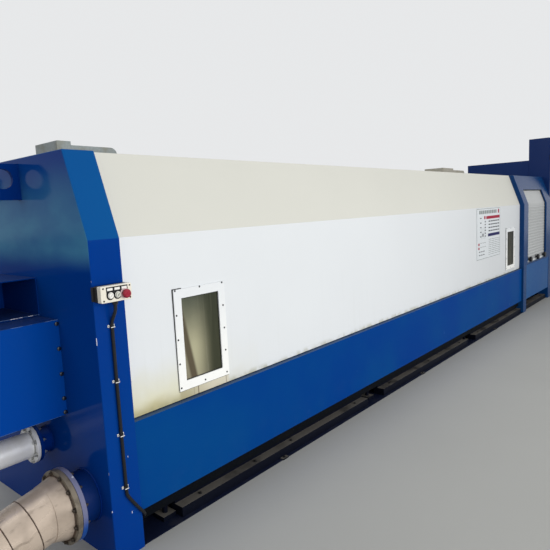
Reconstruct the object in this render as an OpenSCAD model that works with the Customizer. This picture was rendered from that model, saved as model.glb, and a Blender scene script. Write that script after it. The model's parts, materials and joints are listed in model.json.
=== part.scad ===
// Wire drawing machine with a lifting hood, a take-up housing and an exit cabinet.
// Millimetres. X runs along the machine, Y from front to back, Z up from the floor.
// Lengths are measured from the left end face (X 0), the column's front face (Y 0)
// and the floor (Z 0). The last step centres the machine on the origin.

/* [Overall] */
// Length of the drawing section, from the left end face to the take-up housing
section_len = 6350; // [6000:50:7200]
// Depth of the body, front to back
body_depth = 1290; // [1250:10:1500]
// Height of the roof above the floor
roof_z = 1862; // [1800:2:2000]
// Height of the fold where the front begins to lean back
fold_z = 1468; // [1440:2:1560]
// How far the leaning front goes back between the fold and the roof
slope_set = 145; // [100:5:200]
// Height of the ledge on top of the base skirt
deck_z = 605; // [560:5:640]
// Gap between the floor and the skirts
skirt_z = 165; // [130:5:220]
// Thickness of the sheet metal panels
sheet_t = 4; // [3:0.5:6]
// Running gap round the hood
hood_gap = 7; // [6:1:12]

/* [Left end] */
// Width of the left end column and wall, along X
column_w = 155; // [120:5:200]
// Depth of the column, front to back
column_d = 170; // [165:5:220]
// How far the hood lies behind the column's front face
hood_set = 56; // [45:1:70]
// How far the skirt lies behind the column's front face
skirt_set = 26; // [15:1:40]

/* [Base] */
// Height of the bed beams above the floor
bed_z = 90; // [80:5:120]
// Width of each long bed beam
beam_w = 100; // [80:5:140]
// Gap between the skirt's folded edge and the bed beam
beam_gap = 4; // [2:1:20]
// Width of the cross beams
cross_w = 110; // [80:10:140]
// Number of cross beams
cross_count = 7; // [4:1:9]
// Thickness of the chamber floor plate
floor_t = 40; // [25:5:60]
// Height of the sole rails on the floor
sole_t = 60; // [50:2:70]
// Width of the sole rails
sole_w = 97; // [90:1:110]
// How far the front sole rails lie behind the skirt's face
sole_set = 4; // [2:1:12]
// Width of the packing strip between a sole rail and the bed beam
packing_w = 37; // [30:1:50]
// Distance from the left end face to the first sole rail
sole_left = 411; // [400:1:440]
// Length of the first sole rail
sole_a = 1867; // [1800:1:1900]
// Length of the second sole rail
sole_b = 1845; // [1800:1:1900]
// Gap between neighbouring sole rails
sole_gap = 250; // [200:5:300]
// Distance from the take-up housing to the last sole rail
sole_right = 10; // [5:1:60]
// Depth of the skirts' folded edges
skirt_fold = 36; // [25:1:50]
// Depth of the ledge plate on top of the front skirt
ledge_d = 84; // [70:2:100]
// Gap between the splash lip and the hood's ends
lip_gap = 8; // [6:1:20]
// Height of the splash lip behind the ledge
lip_h = 45; // [20:5:60]

/* [Feet] */
// Side of a square levelling foot
foot_side = 80; // [70:2:90]
// Height of a levelling foot's block
foot_h = 30; // [20:1:36]
// Gap between the first foot and the first sole rail
foot_gap = 6; // [4:1:20]
// Radius of a levelling screw
screw_r = 14; // [10:1:18]
// Width across the corners of a levelling nut
nut_d = 48; // [40:2:60]
// Height of a levelling nut
nut_h = 20; // [12:1:24]

/* [Hood] */
// Depth of the hood's flat top, front to back
hood_top_d = 254; // [220:2:270]
// Number of stiffeners across the hood
rib_count = 6; // [4:1:8]
// Width of a stiffener
rib_w = 40; // [30:2:60]
// Depth of a stiffener
rib_d = 30; // [20:2:36]
// Distance between a stiffener's end and the panel's edge
rib_inset = 24; // [15:1:40]

/* [Windows] */
// Width of a window frame
win_w = 353; // [300:1:400]
// Height of a window frame
win_h = 527; // [450:1:600]
// Height of the window frame's lower edge above the floor
win_z = 657; // [650:1:700]
// Width of the border of a window frame
win_border = 48; // [35:1:60]
// Thickness of a window frame
win_t = 9; // [6:1:14]
// Distance from the hood's left end to the left window
win_left = 304; // [200:2:340]
// Distance from the hood's right end to the right window
win_right = 236; // [200:2:340]
// Thickness of a window pane
pane_t = 6; // [4:1:8]
// How far a pane reaches under its frame
pane_lap = 20; // [10:1:28]
// Clearance round a pane in the panel
pane_gap = 0.5; // [0.3:0.1:1]

/* [Hood hinges] */
// Number of hinges along the rear edge of the hood
hinge_count = 5; // [3:1:7]
// Distance from each end of the hood to the outer hinges
hinge_end = 440; // [300:10:600]
// Radius of a hinge pin
pin_r = 15; // [12:1:16]
// Radial clearance of a pin in its bores
pin_gap = 0.1; // [0.05:0.01:0.1]
// Radius of the hinge bosses
boss_r = 26; // [22:1:28]
// Height of the hinge axis above the roof
axis_rise = 12; // [10:1:16]
// Thickness of a hinge arm
arm_t = 20; // [16:1:26]
// Thickness of a hinge bracket's cheek
cheek_t = 16; // [12:1:20]
// Side gap between an arm and each cheek
hinge_side_gap = 6; // [5:0.5:8]
// Thickness of the hinge feet
hinge_foot_t = 8; // [6:1:10]
// Length of the hinge feet, front to back
hinge_foot_d = 90; // [70:5:110]
// Distance from the hood's rear edge to the arms' feet, and on to the bosses
hinge_set = 14; // [12:1:18]
// Distance from the bosses to the brackets' feet
bracket_set = 20; // [14:1:30]
// Inset of the hinge webs on their feet
web_inset = 10; // [5:1:15]
// How far the webs stay below the top of the bosses
web_drop = 3; // [1:0.5:6]
// How far the pins stand out of the brackets
pin_out = 8; // [4:1:12]
// Gap round the brackets in the roof's edge
roof_slot = 12; // [8:1:20]
// Gap between the hood's rear edge and the roof
rear_gap = 10; // [8:1:14]

/* [Drawing chamber] */
// Distance from the column's front face to the chamber's back wall
wall_y = 535; // [525:5:560]
// Thickness of the chamber's back wall
wall_t = 25; // [15:1:40]
// Number of capstans in the upper row
cap_count = 7; // [5:1:7]
// Distance between two capstans of one row
cap_pitch = 860; // [780:10:880]
// Distance from the left end face to the first capstan
cap_x = 600; // [560:10:640]
// Height of the upper row of capstans
cap_high_z = 1330; // [1310:5:1360]
// Height of the lower row of capstans
cap_low_z = 880; // [870:5:900]
// Radius of a capstan's drum
cap_r = 205; // [180:1:210]
// Radius of a capstan's flanges
cap_flange_r = 228; // [215:1:230]
// Width of a capstan's drum
cap_w = 118; // [90:1:130]
// Thickness of a capstan's flanges
cap_flange_t = 14; // [8:1:18]
// Length of the seal collar behind a capstan
collar_w = 46; // [30:2:60]
// Radius of the seal collar behind a capstan
collar_r = 95; // [80:1:110]
// Height of the slope between a capstan's drum and its flanges
cap_taper = 6; // [3:1:10]
// Thickness of the rim round a capstan's open front
cap_rim = 34; // [24:1:40]
// Depth of the dish in a capstan's front
cap_dish = 22; // [10:1:30]
// Length of the cap on a capstan's hub
cap_nose = 22; // [14:1:30]
// Side of a die holder block
die_side = 92; // [70:2:96]
// Width of a die holder block, front to back
die_w = 124; // [90:2:140]
// Radius of the wire bore through a die holder
die_bore_r = 17; // [10:1:22]
// Radius of the arm that carries a die holder
die_arm_r = 26; // [20:1:34]
// Distance from the back wall to a die holder block
die_stand = 60; // [50:2:70]
// How far the foot of a die holder's arm stands out round the arm
die_foot = 16; // [10:1:20]
// Thickness of the foot of a die holder's arm
die_foot_t = 12; // [6:1:20]
// Radius of a die holder's clamp screw
clamp_r = 9; // [6:0.5:12]
// Length of the clamp screw's neck
clamp_h = 14; // [8:1:20]
// Radius of the clamp screw's head
clamp_head_r = 17; // [14:1:22]
// Thickness of the clamp screw's head
clamp_head_h = 10; // [6:1:16]

/* [Gear case] */
// Number of bolted covers on the back of the gear case
cover_count = 6; // [4:1:7]
// Thickness of a gear case cover
cover_t = 12; // [8:1:16]
// Gap between two gear case covers
cover_gap = 160; // [100:10:220]
// Corner radius of a gear case cover
cover_r = 60; // [30:5:90]
// Distance from the covers to the gear case's upper and lower edges
cover_inset = 130; // [80:5:200]
// Thickness of the roof panel
roof_t = 12; // [6:1:16]

/* [Top covers] */
// Distance from the front face to the lift covers on the roof
lift_y = 650; // [645:5:700]
// Depth of a lift cover, front to back
lift_d = 240; // [180:10:300]
// Height of the tall part of a lift cover
lift_h = 112; // [100:2:140]
// Height of the low part of a lift cover
lift_low_h = 92; // [60:2:96]
// Corner radius of the low part of a lift cover
lift_r = 40; // [20:2:50]
// Distance from the left end face to the left lift cover
lift_left_x = 250; // [200:10:400]
// Length of the left cover's tall part
lift_left_tall = 80; // [60:5:200]
// Length of the left cover's low part
lift_left_low = 280; // [200:10:400]
// Distance from the left end face to the right lift cover
lift_right_x = 5240; // [5000:10:5300]
// Length of the right cover's tall part
lift_right_tall = 330; // [200:10:400]
// Length of the right cover's low part
lift_right_low = 380; // [200:10:400]
// Distance from the hood's left end to its left lifting eye
eye_left = 100; // [60:5:200]
// Distance from the hood's right end to its right lifting eye
eye_right = 883; // [800:1:950]
// Distance from the front face to the lifting eyes
eye_y = 405; // [380:5:420]
// Outer radius of a lifting eye's ring
eye_r = 15; // [12:1:20]
// Radius of the bar of a lifting eye
eye_bar_r = 5; // [4:0.5:6]

/* [Take-up housing] */
// Width of the take-up housing, along X
housing_w = 1450; // [1350:10:1600]
// Width of the housing's legs, along X
leg_w = 137; // [100:1:160]
// Depth of the housing's legs, front to back
leg_d = 145; // [100:5:200]
// Distance from the housing's left edge to the shutter opening
shutter_left = 200; // [180:5:240]
// Width of the shutter opening
shutter_w = 950; // [800:10:980]
// Height of the shutter opening's lower edge above the floor
shutter_z = 664; // [650:2:700]
// Height of the shutter opening's upper edge above the floor
shutter_top_z = 1667; // [1600:5:1700]
// Depth of the recess that the shutter runs in
shutter_recess = 44; // [36:2:60]
// Distance from one slat to the next
slat_pitch = 40; // [30:2:60]
// Thickness of the shutter's curtain
curtain_t = 8; // [6:1:12]
// How far the slats stand out of the curtain
slat_rise = 9; // [5:1:12]
// Height of the rail at the shutter's lower edge
rail_h = 62; // [50:2:80]
// Thickness of the shutter's rail
rail_t = 26; // [20:1:32]
// Height of the rail's thick foot
rail_foot = 18; // [12:1:22]
// Depth of the step above the rail's foot
rail_step = 8; // [4:1:12]
// Number of knobs on the shutter's rail
knob_count = 3; // [2:1:4]
// Distance between two knobs
knob_pitch = 368; // [240:4:400]
// Distance from the shutter opening's left edge to the first knob
knob_left = 112; // [80:2:120]
// Radius of a knob
knob_r = 38; // [30:1:40]
// Radius of a knob's neck
knob_neck_r = 14; // [8:1:15]
// How far a knob stands out of the rail
knob_h = 44; // [30:1:60]
// Length of a knob's neck
knob_neck = 18; // [12:1:24]
// Rounding of a knob's edges
knob_edge = 6; // [3:0.5:8]
// Depth of the recess for the lower front panel
panel_recess = 8; // [5:1:14]
// Seam round the lower front panel
panel_seam = 4; // [3:0.5:8]
// Height of the sill between the lower front panel and the shutter
sill_h = 20; // [12:1:30]
// Number of service covers on the housing's back
back_cover_count = 2; // [1:1:3]

/* [Exit cabinet] */
// Length of the exit cabinet, along X
cabinet_len = 900; // [700:10:1200]
// How far the cabinet lies behind the housing's front face
cabinet_set = 30; // [20:2:60]
// Depth of the tall front part of the cabinet
cabinet_front_d = 305; // [260:5:400]
// Height of the tall front part of the cabinet
cabinet_front_z = 2450; // [2200:10:2600]
// Height of the rear part of the cabinet
cabinet_rear_z = 2130; // [1900:10:2180]
// Height of the cabinet's plinth
plinth_h = 100; // [60:5:150]
// How far the plinth is set back
plinth_set = 20; // [10:1:40]
// Thickness of the cabinet's doors
door_t = 18; // [10:1:18]
// Gap round the cabinet's doors
door_seam = 8; // [5:1:12]

/* [Entry boxes] */
// How far the left connections reach out from the end face
left_reach = 500; // [495:5:600]
// Length of the die box, along X
die_box_len = 460; // [380:5:490]
// Distance from the front face to the die box cover
die_box_y = 322; // [300:2:360]
// Distance from the front face to the back of both boxes
boxes_back = 900; // [860:10:1000]
// Height of the die box's lower edge
die_box_z = 637; // [620:1:680]
// Height of the die box's upper edge
die_box_top = 1098; // [1050:2:1120]
// Thickness of the die box cover
box_cover_t = 6; // [4:1:10]
// Length of the entry box, along X
entry_len = 440; // [360:5:460]
// Distance from the front face to the open front of the entry box
entry_y = 500; // [480:5:560]
// Height of the entry box's upper edge
entry_top = 1288; // [1260:2:1320]
// Wall thickness of the entry box
entry_wall = 6; // [4:1:10]
// Radius of the rod inlet in the entry box
inlet_r = 32; // [20:1:45]
// How far the inlet bush stands out
inlet_out = 26; // [15:1:34]

/* [Lifting lugs] */
// Distance from the front face to the front lifting lug
lug_y = 567; // [550:1:640]
// Distance between the two lifting lugs
lug_pitch = 563; // [500:1:620]
// Thickness of a lifting lug
lug_t = 25; // [20:1:35]
// How far a lug stands out from the end face
lug_out = 150; // [140:2:190]
// Height of a lug
lug_h = 172; // [160:2:200]
// Distance from the roof down to a lug's upper edge
lug_drop = 26; // [15:1:50]
// Radius of the hole in a lug
lug_hole_r = 47; // [35:1:52]
// Distance from the end face to the hole's centre
lug_hole_x = 77; // [72:1:84]
// Distance from a lug's upper edge down to the hole's centre
lug_hole_drop = 72; // [68:1:84]
// Size of a lug's cut corners
lug_cut = 38; // [20:1:44]

/* [Supply pipe] */
// Distance from the front face to the supply pipe's axis
supply_y = 560; // [540:5:620]
// Height of the supply pipe's axis
supply_z = 455; // [440:5:480]
// Radius of the supply pipe
supply_r = 64.5; // [50:0.5:70]
// Wall thickness of the supply pipe
supply_wall = 3; // [2:0.5:5]
// Radius of the supply flanges
supply_flange_r = 94; // [90:1:105]
// Thickness of a supply flange
supply_flange_t = 16; // [12:1:20]
// Length of the supply nozzle, from the end face to its flange
supply_nozzle = 60; // [40:2:80]
// Radius of the supply flanges' bolt circle
supply_pcd_r = 80; // [78:0.5:82]
// Radius of the supply flanges' bolt holes
supply_hole_r = 5; // [4:0.5:6]

/* [Return pipe] */
// Distance from the front face to the return pipe's axis
return_y = 205; // [195:5:230]
// Height of the return pipe's axis at the machine
return_z = 268; // [260:2:300]
// Radius of the return pipe
return_r = 122; // [100:1:126]
// Wall thickness of the return pipe
return_wall = 4; // [3:0.5:6]
// Radius of the return flanges
return_flange_r = 170; // [168:1:180]
// Thickness of a return flange
return_flange_t = 22; // [16:1:26]
// Length of the return nozzle, from the end face to its flange
return_nozzle = 96; // [60:2:120]
// Radius of the return flanges' bolt circle
return_pcd_r = 155; // [154:0.5:157]
// Radius of the return flanges' bolt holes
return_hole_r = 6; // [5:0.5:7]
// Radius of the return pipe's cone at its flange
cone_r = 146; // [130:1:147]
// Length of the return pipe's cone
cone_len = 70; // [50:2:80]
// How far the return pipe falls over its length
return_fall = 62; // [20:2:66]
// How far the cone's small end stands out round the pipe
cone_lip = 4; // [4:0.5:6]
// Depth of the steps in the return pipe's bore
step_d = 6; // [5:0.5:7]
// Height of the steps in the return pipe's bore
bore_step = 1; // [1:0.25:2]
// Thickness of the gaskets between flanges
gasket_t = 2; // [1:0.5:4]

/* [Control box] */
// Length of the control box
box_w = 150; // [140:1:160]
// Height of the control box
box_h = 70; // [64:1:80]
// Depth of the control box
box_d = 50; // [40:1:60]
// Corner radius of the control box
box_r = 4; // [2:0.5:6]
// Distance from the end face to the control box's left side
box_x = 1; // [0:1:5]
// Height of the control box's centre
box_z = 1238; // [1200:2:1300]
// Thickness of the spacer behind the control box
spacer_t = 14; // [8:1:20]
// How far the spacer stands out at the left
spacer_out = 8; // [0:1:10]
// Distance from one button to the next
button_pitch = 35; // [32:0.5:37]
// Distance from the control box's left side to the first button
button_left = 43; // [36:1:44]
// Distance from the control box's centre down to the buttons
button_drop = 6; // [0:1:8]
// Radius of a push button
button_r = 11; // [9:0.5:12]
// Radial clearance of the buttons
button_gap = 0.25; // [0.15:0.05:0.4]
// Radius of the rings round the buttons
bezel_r = 15; // [14:0.5:16]
// Height of the rings round the buttons
bezel_h = 7; // [5:0.5:8]
// How far a push button stands out of its ring
button_out = 6; // [5:0.5:8]
// Radius of the stop button's head
stop_r = 20; // [18:0.5:22]
// Thickness of the stop button's head
stop_h = 17; // [12:0.5:20]
// Gap between the stop button's head and its ring
stop_gap = 6; // [6:0.5:9]
// Depth of a button's bore in the box
stem_d = 20; // [14:1:28]
// Room left behind a button's stem for its travel
stem_room = 8; // [6:0.5:10]
// Rounding of the stop button's edge
stop_edge = 3; // [1:0.5:4]
// Height of the stop button's dome
stop_dome = 8; // [4:0.5:9]

/* [Conduit] */
// Radius of the conduit on the column
conduit_r = 8; // [6:0.5:10]
// Distance from the end face to the conduit
conduit_x = 74; // [60:1:90]
// Height of the conduit's upper clip
clip_z = 1088; // [1060:2:1110]
// Distance between two clips
clip_pitch = 250; // [220:2:260]
// Number of clips
clip_count = 4; // [2:1:4]
// Thickness of a clip's strap
clip_t = 3; // [2:0.5:4]
// Gap between the conduit and a clip
clip_gap = 0.2; // [0.1:0.1:1]
// Width of a conduit clip
clip_w = 34; // [30:1:40]
// Height of a conduit clip
clip_h = 12; // [8:1:16]
// Radius of the gland under the control box
gland_r = 12; // [10:0.5:14]
// Length of the gland under the control box
gland_h = 18; // [12:1:24]
// Distance from the column's face to the middle of the gland, past the spacer
gland_out = 20; // [16:1:24]
// Distance from the conduit's line to the gland, along X
gland_side = 10; // [6:1:14]
// Gap between the column's face and the conduit
conduit_gap = 1; // [0.5:0.5:3]
// Gap between the column and the conduit where it turns under the skirt
turn_gap = 4; // [2:1:10]
// Height of the conduit's end above the bed beam's lower edge
entry_rise = 40; // [30:1:60]

/* [Hidden] */
$fn = 48;
eps = 1;

// Where the main parts begin and end
housing_x1 = section_len + housing_w;
machine_x1 = housing_x1 + cabinet_len;
floor_z = deck_z - sheet_t;
bed_top = floor_z - floor_t;
case_y = wall_y + wall_t;
case_top = roof_z - roof_t;
back_y = body_depth + cover_t;
front_y = -(spacer_t + box_d + bezel_h + stop_gap + stop_h);
mid_x = (machine_x1 - left_reach) / 2;
mid_y = (back_y + front_y) / 2;

// The hood's own limits, mitres and hinge line
hood_x0 = column_w + hood_gap;
hood_x1 = section_len - hood_gap;
hood_z0 = deck_z + hood_gap;
hood_len = hood_x1 - hood_x0;
hood_brow_y = hood_set + slope_set;
hood_rear_y = hood_brow_y + hood_top_d;
lean = atan(slope_set / (roof_z - fold_z));
fold_mitre = sheet_t * tan(lean / 2);
brow_mitre = sheet_t * tan((90 - lean) / 2);
roof_y = hood_rear_y + rear_gap;
axis_y = hood_rear_y + boss_r + hinge_set;
axis_z = roof_z + axis_rise;
hinge_step = (hood_len - 2 * hinge_end) / (hinge_count - 1);
hinge_xs = [for (i = [0 : hinge_count - 1]) hood_x0 + hinge_end + i * hinge_step];
rib_xs = [for (i = [1 : rib_count]) hood_x0 + i * hood_len / (rib_count + 1)];
win_xs = [hood_x0 + win_left, hood_x1 - win_right - win_w];

// The pieces' inner lines
pane_w = win_w - 2 * win_border + 2 * pane_lap;
pane_h = win_h - 2 * win_border + 2 * pane_lap;
pane_in = win_border - pane_lap;
box_y = -(spacer_t + box_d);
button_xs = [for (i = [0 : 2]) box_x + button_left + i * button_pitch];
button_z = box_z - button_drop;
shutter_x0 = section_len + shutter_left;
shutter_x1 = shutter_x0 + shutter_w;
sole_b_x = sole_left + sole_a + sole_gap;
sole_c_x = sole_b_x + sole_b + sole_gap;
sole_xs = [[sole_left, sole_left + sole_a], [sole_b_x, sole_b_x + sole_b],
  [sole_c_x, section_len - sole_right]];
feet_x = [sole_left - foot_gap - foot_side / 2, sole_b_x - sole_gap / 2,
  sole_c_x - sole_gap / 2];
beam_set = skirt_set + skirt_fold + beam_gap;
feet_y = [beam_set + beam_w / 2, body_depth - beam_set - beam_w / 2];

// Centres the machine on the origin and leaves it on the floor
module place() {
  translate([-mid_x, -mid_y, 0]) children();
}

// A straight block between two corners
module slab(x0, x1, y0, y1, z0, z1) {
  translate([x0, y0, z0]) cube([x1 - x0, y1 - y0, z1 - z0]);
}

// An outline in Y and Z, drawn out along X
module along_x(x0, x1, points) {
  translate([x0, 0, 0]) rotate([90, 0, 90]) linear_extrude(height = x1 - x0) polygon(points);
}

// A round bar along X
module bar_x(x0, x1, y, z, r) {
  translate([x0, y, z]) rotate([0, 90, 0]) cylinder(h = x1 - x0, r = r);
}

// A round bar that points to the front, from Y y down to y - h
module bar_front(x, y, z, r, h) {
  translate([x, y, z]) rotate([90, 0, 0]) cylinder(h = h, r = r);
}

// A round bar between two points
module bar_between(a, b, r) {
  d = b - a;
  len = norm(d);
  translate(a) rotate([0, acos(d[2] / len), atan2(d[1], d[0])]) cylinder(h = len, r = r);
}

// A rectangle with round corners
module round_rect(w, h, r) {
  translate([r, 0]) square([w - 2 * r, h]);
  translate([0, r]) square([w, h - 2 * r]);
  for (x = [r, w - r], y = [r, h - r]) translate([x, y]) circle(r = r);
}

// The body's outline, which the end wall, the column and the housing share
function body_outline(y0, y1, z0) = y0 >= slope_set
  ? [[y0, z0], [y0, roof_z], [y1, roof_z], [y1, z0]]
  : [[0, z0], [0, fold_z], [slope_set, roof_z], [y1, roof_z], [y1, z0]];

// A ring of bolt holes through a flange that faces along X
module bolt_ring(x, y, z, ring_r, hole_r, count, depth) {
  for (i = [0 : count - 1]) {
    a = (i + 0.5) * 360 / count;
    bar_x(x - eps, x + depth + eps, y + ring_r * cos(a), z + ring_r * sin(a), hole_r);
  }
}

module bed_frame() {
  color([0.10, 0.11, 0.13]) place() {
    for (y = [beam_set, body_depth - beam_set - beam_w])
      slab(column_w, section_len, y, y + beam_w, bed_z, bed_top);
    step = (section_len - column_w - cross_w) / (cross_count - 1);
    for (i = [0 : cross_count - 1]) {
      x = column_w + i * step;
      slab(x, x + cross_w, beam_set + beam_w, body_depth - beam_set - beam_w,
        bed_z + beam_w / 2, bed_top);
    }
  }
}

module levelling_feet() {
  color([0.02, 0.20, 0.50]) place()
    for (x = feet_x, y = feet_y) {
      slab(x - foot_side / 2, x + foot_side / 2, y - foot_side / 2, y + foot_side / 2,
        0, foot_h);
      translate([x, y, foot_h]) cylinder(h = bed_z - foot_h, r = screw_r);
      translate([x, y, bed_z - nut_h]) cylinder(h = nut_h, d = nut_d, $fn = 6);
    }
}

// A sole rail's outline, with its outer face at Y y and its packing strip under the beam.
// It runs inwards along the sign d.
function sole_outline(y, d) = [[y, 0], [y, sole_t], [y + d * (sole_w - packing_w), sole_t],
  [y + d * (sole_w - packing_w), bed_z], [y + d * sole_w, bed_z], [y + d * sole_w, 0]];

module sole_plates() {
  set = skirt_set + sole_set;
  color([0.40, 0.38, 0.36]) place()
    for (s = sole_xs) {
      along_x(s[0], s[1], sole_outline(set, 1));
      along_x(s[0], s[1], sole_outline(body_depth - set, -1));
    }
}

module front_skirt() {
  y = skirt_set;
  color([0.0, 0.24, 0.55]) place()
    along_x(column_w, section_len, [[y, skirt_z], [y, deck_z], [y + ledge_d, deck_z],
      [y + ledge_d, deck_z - sheet_t], [y + sheet_t, deck_z - sheet_t],
      [y + sheet_t, skirt_z + sheet_t], [y + skirt_fold, skirt_z + sheet_t],
      [y + skirt_fold, skirt_z]]);
}

module rear_skirt() {
  y = body_depth;
  color([0.0, 0.24, 0.55]) place()
    along_x(column_w, section_len, [[y, skirt_z], [y, bed_top], [y - skirt_fold, bed_top],
      [y - skirt_fold, bed_top - sheet_t], [y - sheet_t, bed_top - sheet_t],
      [y - sheet_t, skirt_z + sheet_t], [y - skirt_fold, skirt_z + sheet_t],
      [y - skirt_fold, skirt_z]]);
}

module left_end_wall() {
  color([0.02, 0.17, 0.45]) place()
    along_x(0, column_w, body_outline(column_d, body_depth, 0));
}

module left_end_column() {
  color([0.0, 0.24, 0.55]) place()
    along_x(0, column_w, body_outline(0, column_d, 0));
}

module chamber_floor() {
  lip_y = skirt_set + ledge_d + 2;
  color([0.45, 0.47, 0.48]) place() {
    slab(column_w, section_len, skirt_set + skirt_fold, case_y, bed_top, floor_z);
    slab(hood_x0 + sheet_t + lip_gap, hood_x1 - sheet_t - lip_gap, lip_y, lip_y + sheet_t,
      floor_z, floor_z + lip_h);
  }
}

module chamber_back_wall() {
  color([0.50, 0.53, 0.55]) place()
    slab(column_w, section_len, wall_y, case_y, floor_z, case_top);
}

module gear_case() {
  color([0.0, 0.22, 0.50]) place()
    slab(column_w, section_len, case_y, body_depth, bed_top, case_top);
}

module gear_case_covers() {
  step = (section_len - column_w - cover_gap) / cover_count;
  w = step - cover_gap;
  h = case_top - bed_top - 2 * cover_inset;
  color([0.0, 0.24, 0.55]) place()
    for (i = [0 : cover_count - 1])
      translate([column_w + cover_gap + i * step, back_y, bed_top + cover_inset])
        rotate([90, 0, 0]) linear_extrude(height = cover_t) round_rect(w, h, cover_r);
}

module roof_panel() {
  slot = arm_t / 2 + hinge_side_gap + cheek_t + roof_slot;
  color([0.80, 0.81, 0.79]) place() difference() {
    slab(column_w, section_len, roof_y, body_depth, case_top, roof_z);
    for (x = hinge_xs)
      slab(x - slot, x + slot, roof_y - eps, axis_y + boss_r + roof_slot, case_top - eps,
        roof_z + eps);
  }
}

// One capstan, turned about its shaft, from the back wall to its front cap
module capstan(x, z) {
  w0 = collar_w;
  w1 = collar_w + cap_w;
  t = cap_flange_t;
  front_r = cap_flange_r - cap_taper;
  hub_r = 0.8 * collar_r;
  neck_r = 0.7 * collar_r;
  translate([x, wall_y, z]) rotate([90, 0, 0]) rotate_extrude($fn = 64)
    polygon([[0, 0], [collar_r, 0], [collar_r, t / 2], [neck_r, t], [neck_r, w0],
      [cap_flange_r, w0], [cap_flange_r, w0 + t], [cap_r, w0 + t + cap_taper],
      [cap_r - cap_taper, w1 - t - cap_taper], [front_r, w1 - t], [front_r, w1],
      [front_r - cap_rim, w1], [front_r - cap_rim - cap_taper, w1 - cap_dish],
      [hub_r, w1 - cap_dish], [hub_r, w1 + cap_nose / 2], [hub_r - cap_nose, w1 + cap_nose],
      [0, w1 + cap_nose]]);
}

module capstans_upper() {
  color([0.72, 0.72, 0.70]) place()
    for (i = [0 : cap_count - 1]) capstan(cap_x + i * cap_pitch, cap_high_z);
}

module capstans_lower() {
  color([0.72, 0.72, 0.70]) place()
    for (i = [0 : cap_count - 2]) capstan(cap_x + (i + 0.5) * cap_pitch, cap_low_z);
}

// One die holder on its arm, with the wire bore and a clamp screw
module die_holder(x, z) {
  y1 = wall_y - die_stand;
  y_mid = y1 - die_w / 2;
  h = die_side / 2;
  difference() {
    union() {
      bar_front(x, wall_y, z, die_arm_r, die_stand);
      bar_front(x, wall_y, z, die_arm_r + die_foot, die_foot_t);
      slab(x - h, x + h, y1 - die_w, y1, z - h, z + h);
      translate([x, y_mid, z + h]) cylinder(h = clamp_h, r = clamp_r);
      translate([x, y_mid, z + h + clamp_h]) cylinder(h = clamp_head_h, r = clamp_head_r);
    }
    bar_x(x - h - eps, x + h + eps, y_mid, z, die_bore_r);
  }
}

module die_holders() {
  color([0.45, 0.46, 0.47]) place()
    for (i = [0 : 2 * cap_count - 3])
      die_holder(cap_x + (i + 0.5) * cap_pitch / 2, (cap_high_z + cap_low_z) / 2);
}

// The cheek of a hinge bracket: a boss round the pin and a web to the foot
module cheek(x) {
  y0 = axis_y + boss_r + bracket_set + web_inset;
  bar_x(x - cheek_t / 2, x + cheek_t / 2, axis_y, axis_z, boss_r);
  along_x(x - cheek_t / 2, x + cheek_t / 2, [[axis_y, axis_z + boss_r - web_drop],
    [y0 + hinge_foot_d - 2 * web_inset, roof_z + hinge_foot_t], [y0, roof_z + hinge_foot_t],
    [axis_y, axis_z - web_drop]]);
}

module hinge_brackets() {
  side = arm_t / 2 + hinge_side_gap + cheek_t / 2;
  y0 = axis_y + boss_r + bracket_set;
  color([0.15, 0.16, 0.18]) place()
    for (x = hinge_xs) difference() {
      union() {
        cheek(x - side);
        cheek(x + side);
        slab(x - side - cheek_t, x + side + cheek_t, y0, y0 + hinge_foot_d,
          roof_z, roof_z + hinge_foot_t);
      }
      bar_x(x - 2 * side, x + 2 * side, axis_y, axis_z, pin_r + pin_gap);
    }
}

module hinge_pins() {
  half = arm_t / 2 + hinge_side_gap + cheek_t + pin_out;
  color([0.70, 0.70, 0.70]) place()
    for (x = hinge_xs) bar_x(x - half, x + half, axis_y, axis_z, pin_r);
}

// A sheet cover on the roof: a tall part, then a low part with a round end
module lift_cover(x, tall, low) {
  top = roof_z + lift_low_h;
  color([0.70, 0.69, 0.62]) place() {
    slab(x, x + tall, lift_y, lift_y + lift_d, roof_z, roof_z + lift_h);
    slab(x + tall, x + tall + low, lift_y, lift_y + lift_d, roof_z, top - lift_r);
    slab(x + tall, x + tall + low - lift_r, lift_y, lift_y + lift_d, top - lift_r, top);
    bar_front(x + tall + low - lift_r, lift_y + lift_d, top - lift_r, lift_r, lift_d);
  }
}

module lift_cover_left() {
  lift_cover(lift_left_x, lift_left_tall, lift_left_low);
}

module lift_cover_right() {
  lift_cover(lift_right_x, lift_right_tall, lift_right_low);
}

module lifting_lugs() {
  z1 = roof_z - lug_drop;
  z0 = z1 - lug_h;
  color([0.0, 0.22, 0.50]) place()
    for (y = [lug_y, lug_y + lug_pitch]) difference() {
      translate([0, y + lug_t, 0]) rotate([90, 0, 0]) linear_extrude(height = lug_t)
        polygon([[0, z0], [-lug_out + lug_cut, z0], [-lug_out, z0 + lug_cut],
          [-lug_out, z1 - lug_cut], [-lug_out + lug_cut, z1], [0, z1]]);
      bar_front(-lug_hole_x, y + lug_t + eps, z1 - lug_hole_drop, lug_hole_r, lug_t + 2 * eps);
    }
}

module entry_box() {
  w = entry_wall;
  y_mid = (entry_y + boxes_back) / 2;
  z_mid = (die_box_top + entry_top) / 2;
  color([0.02, 0.17, 0.45]) place() difference() {
    union() {
      slab(-entry_len, 0, entry_y, boxes_back, die_box_top, entry_top);
      bar_x(-entry_len - inlet_out, -entry_len, y_mid, z_mid, inlet_r + 14);
    }
    slab(-entry_len + w, -w, entry_y - eps, boxes_back - w, die_box_top + w, entry_top - w);
    bar_x(-entry_len - inlet_out - eps, -entry_len + w + eps, y_mid, z_mid, inlet_r);
  }
}

module die_box() {
  color([0.0, 0.22, 0.50]) place()
    slab(-die_box_len, 0, die_box_y + box_cover_t, boxes_back, die_box_z, die_box_top);
}

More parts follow.
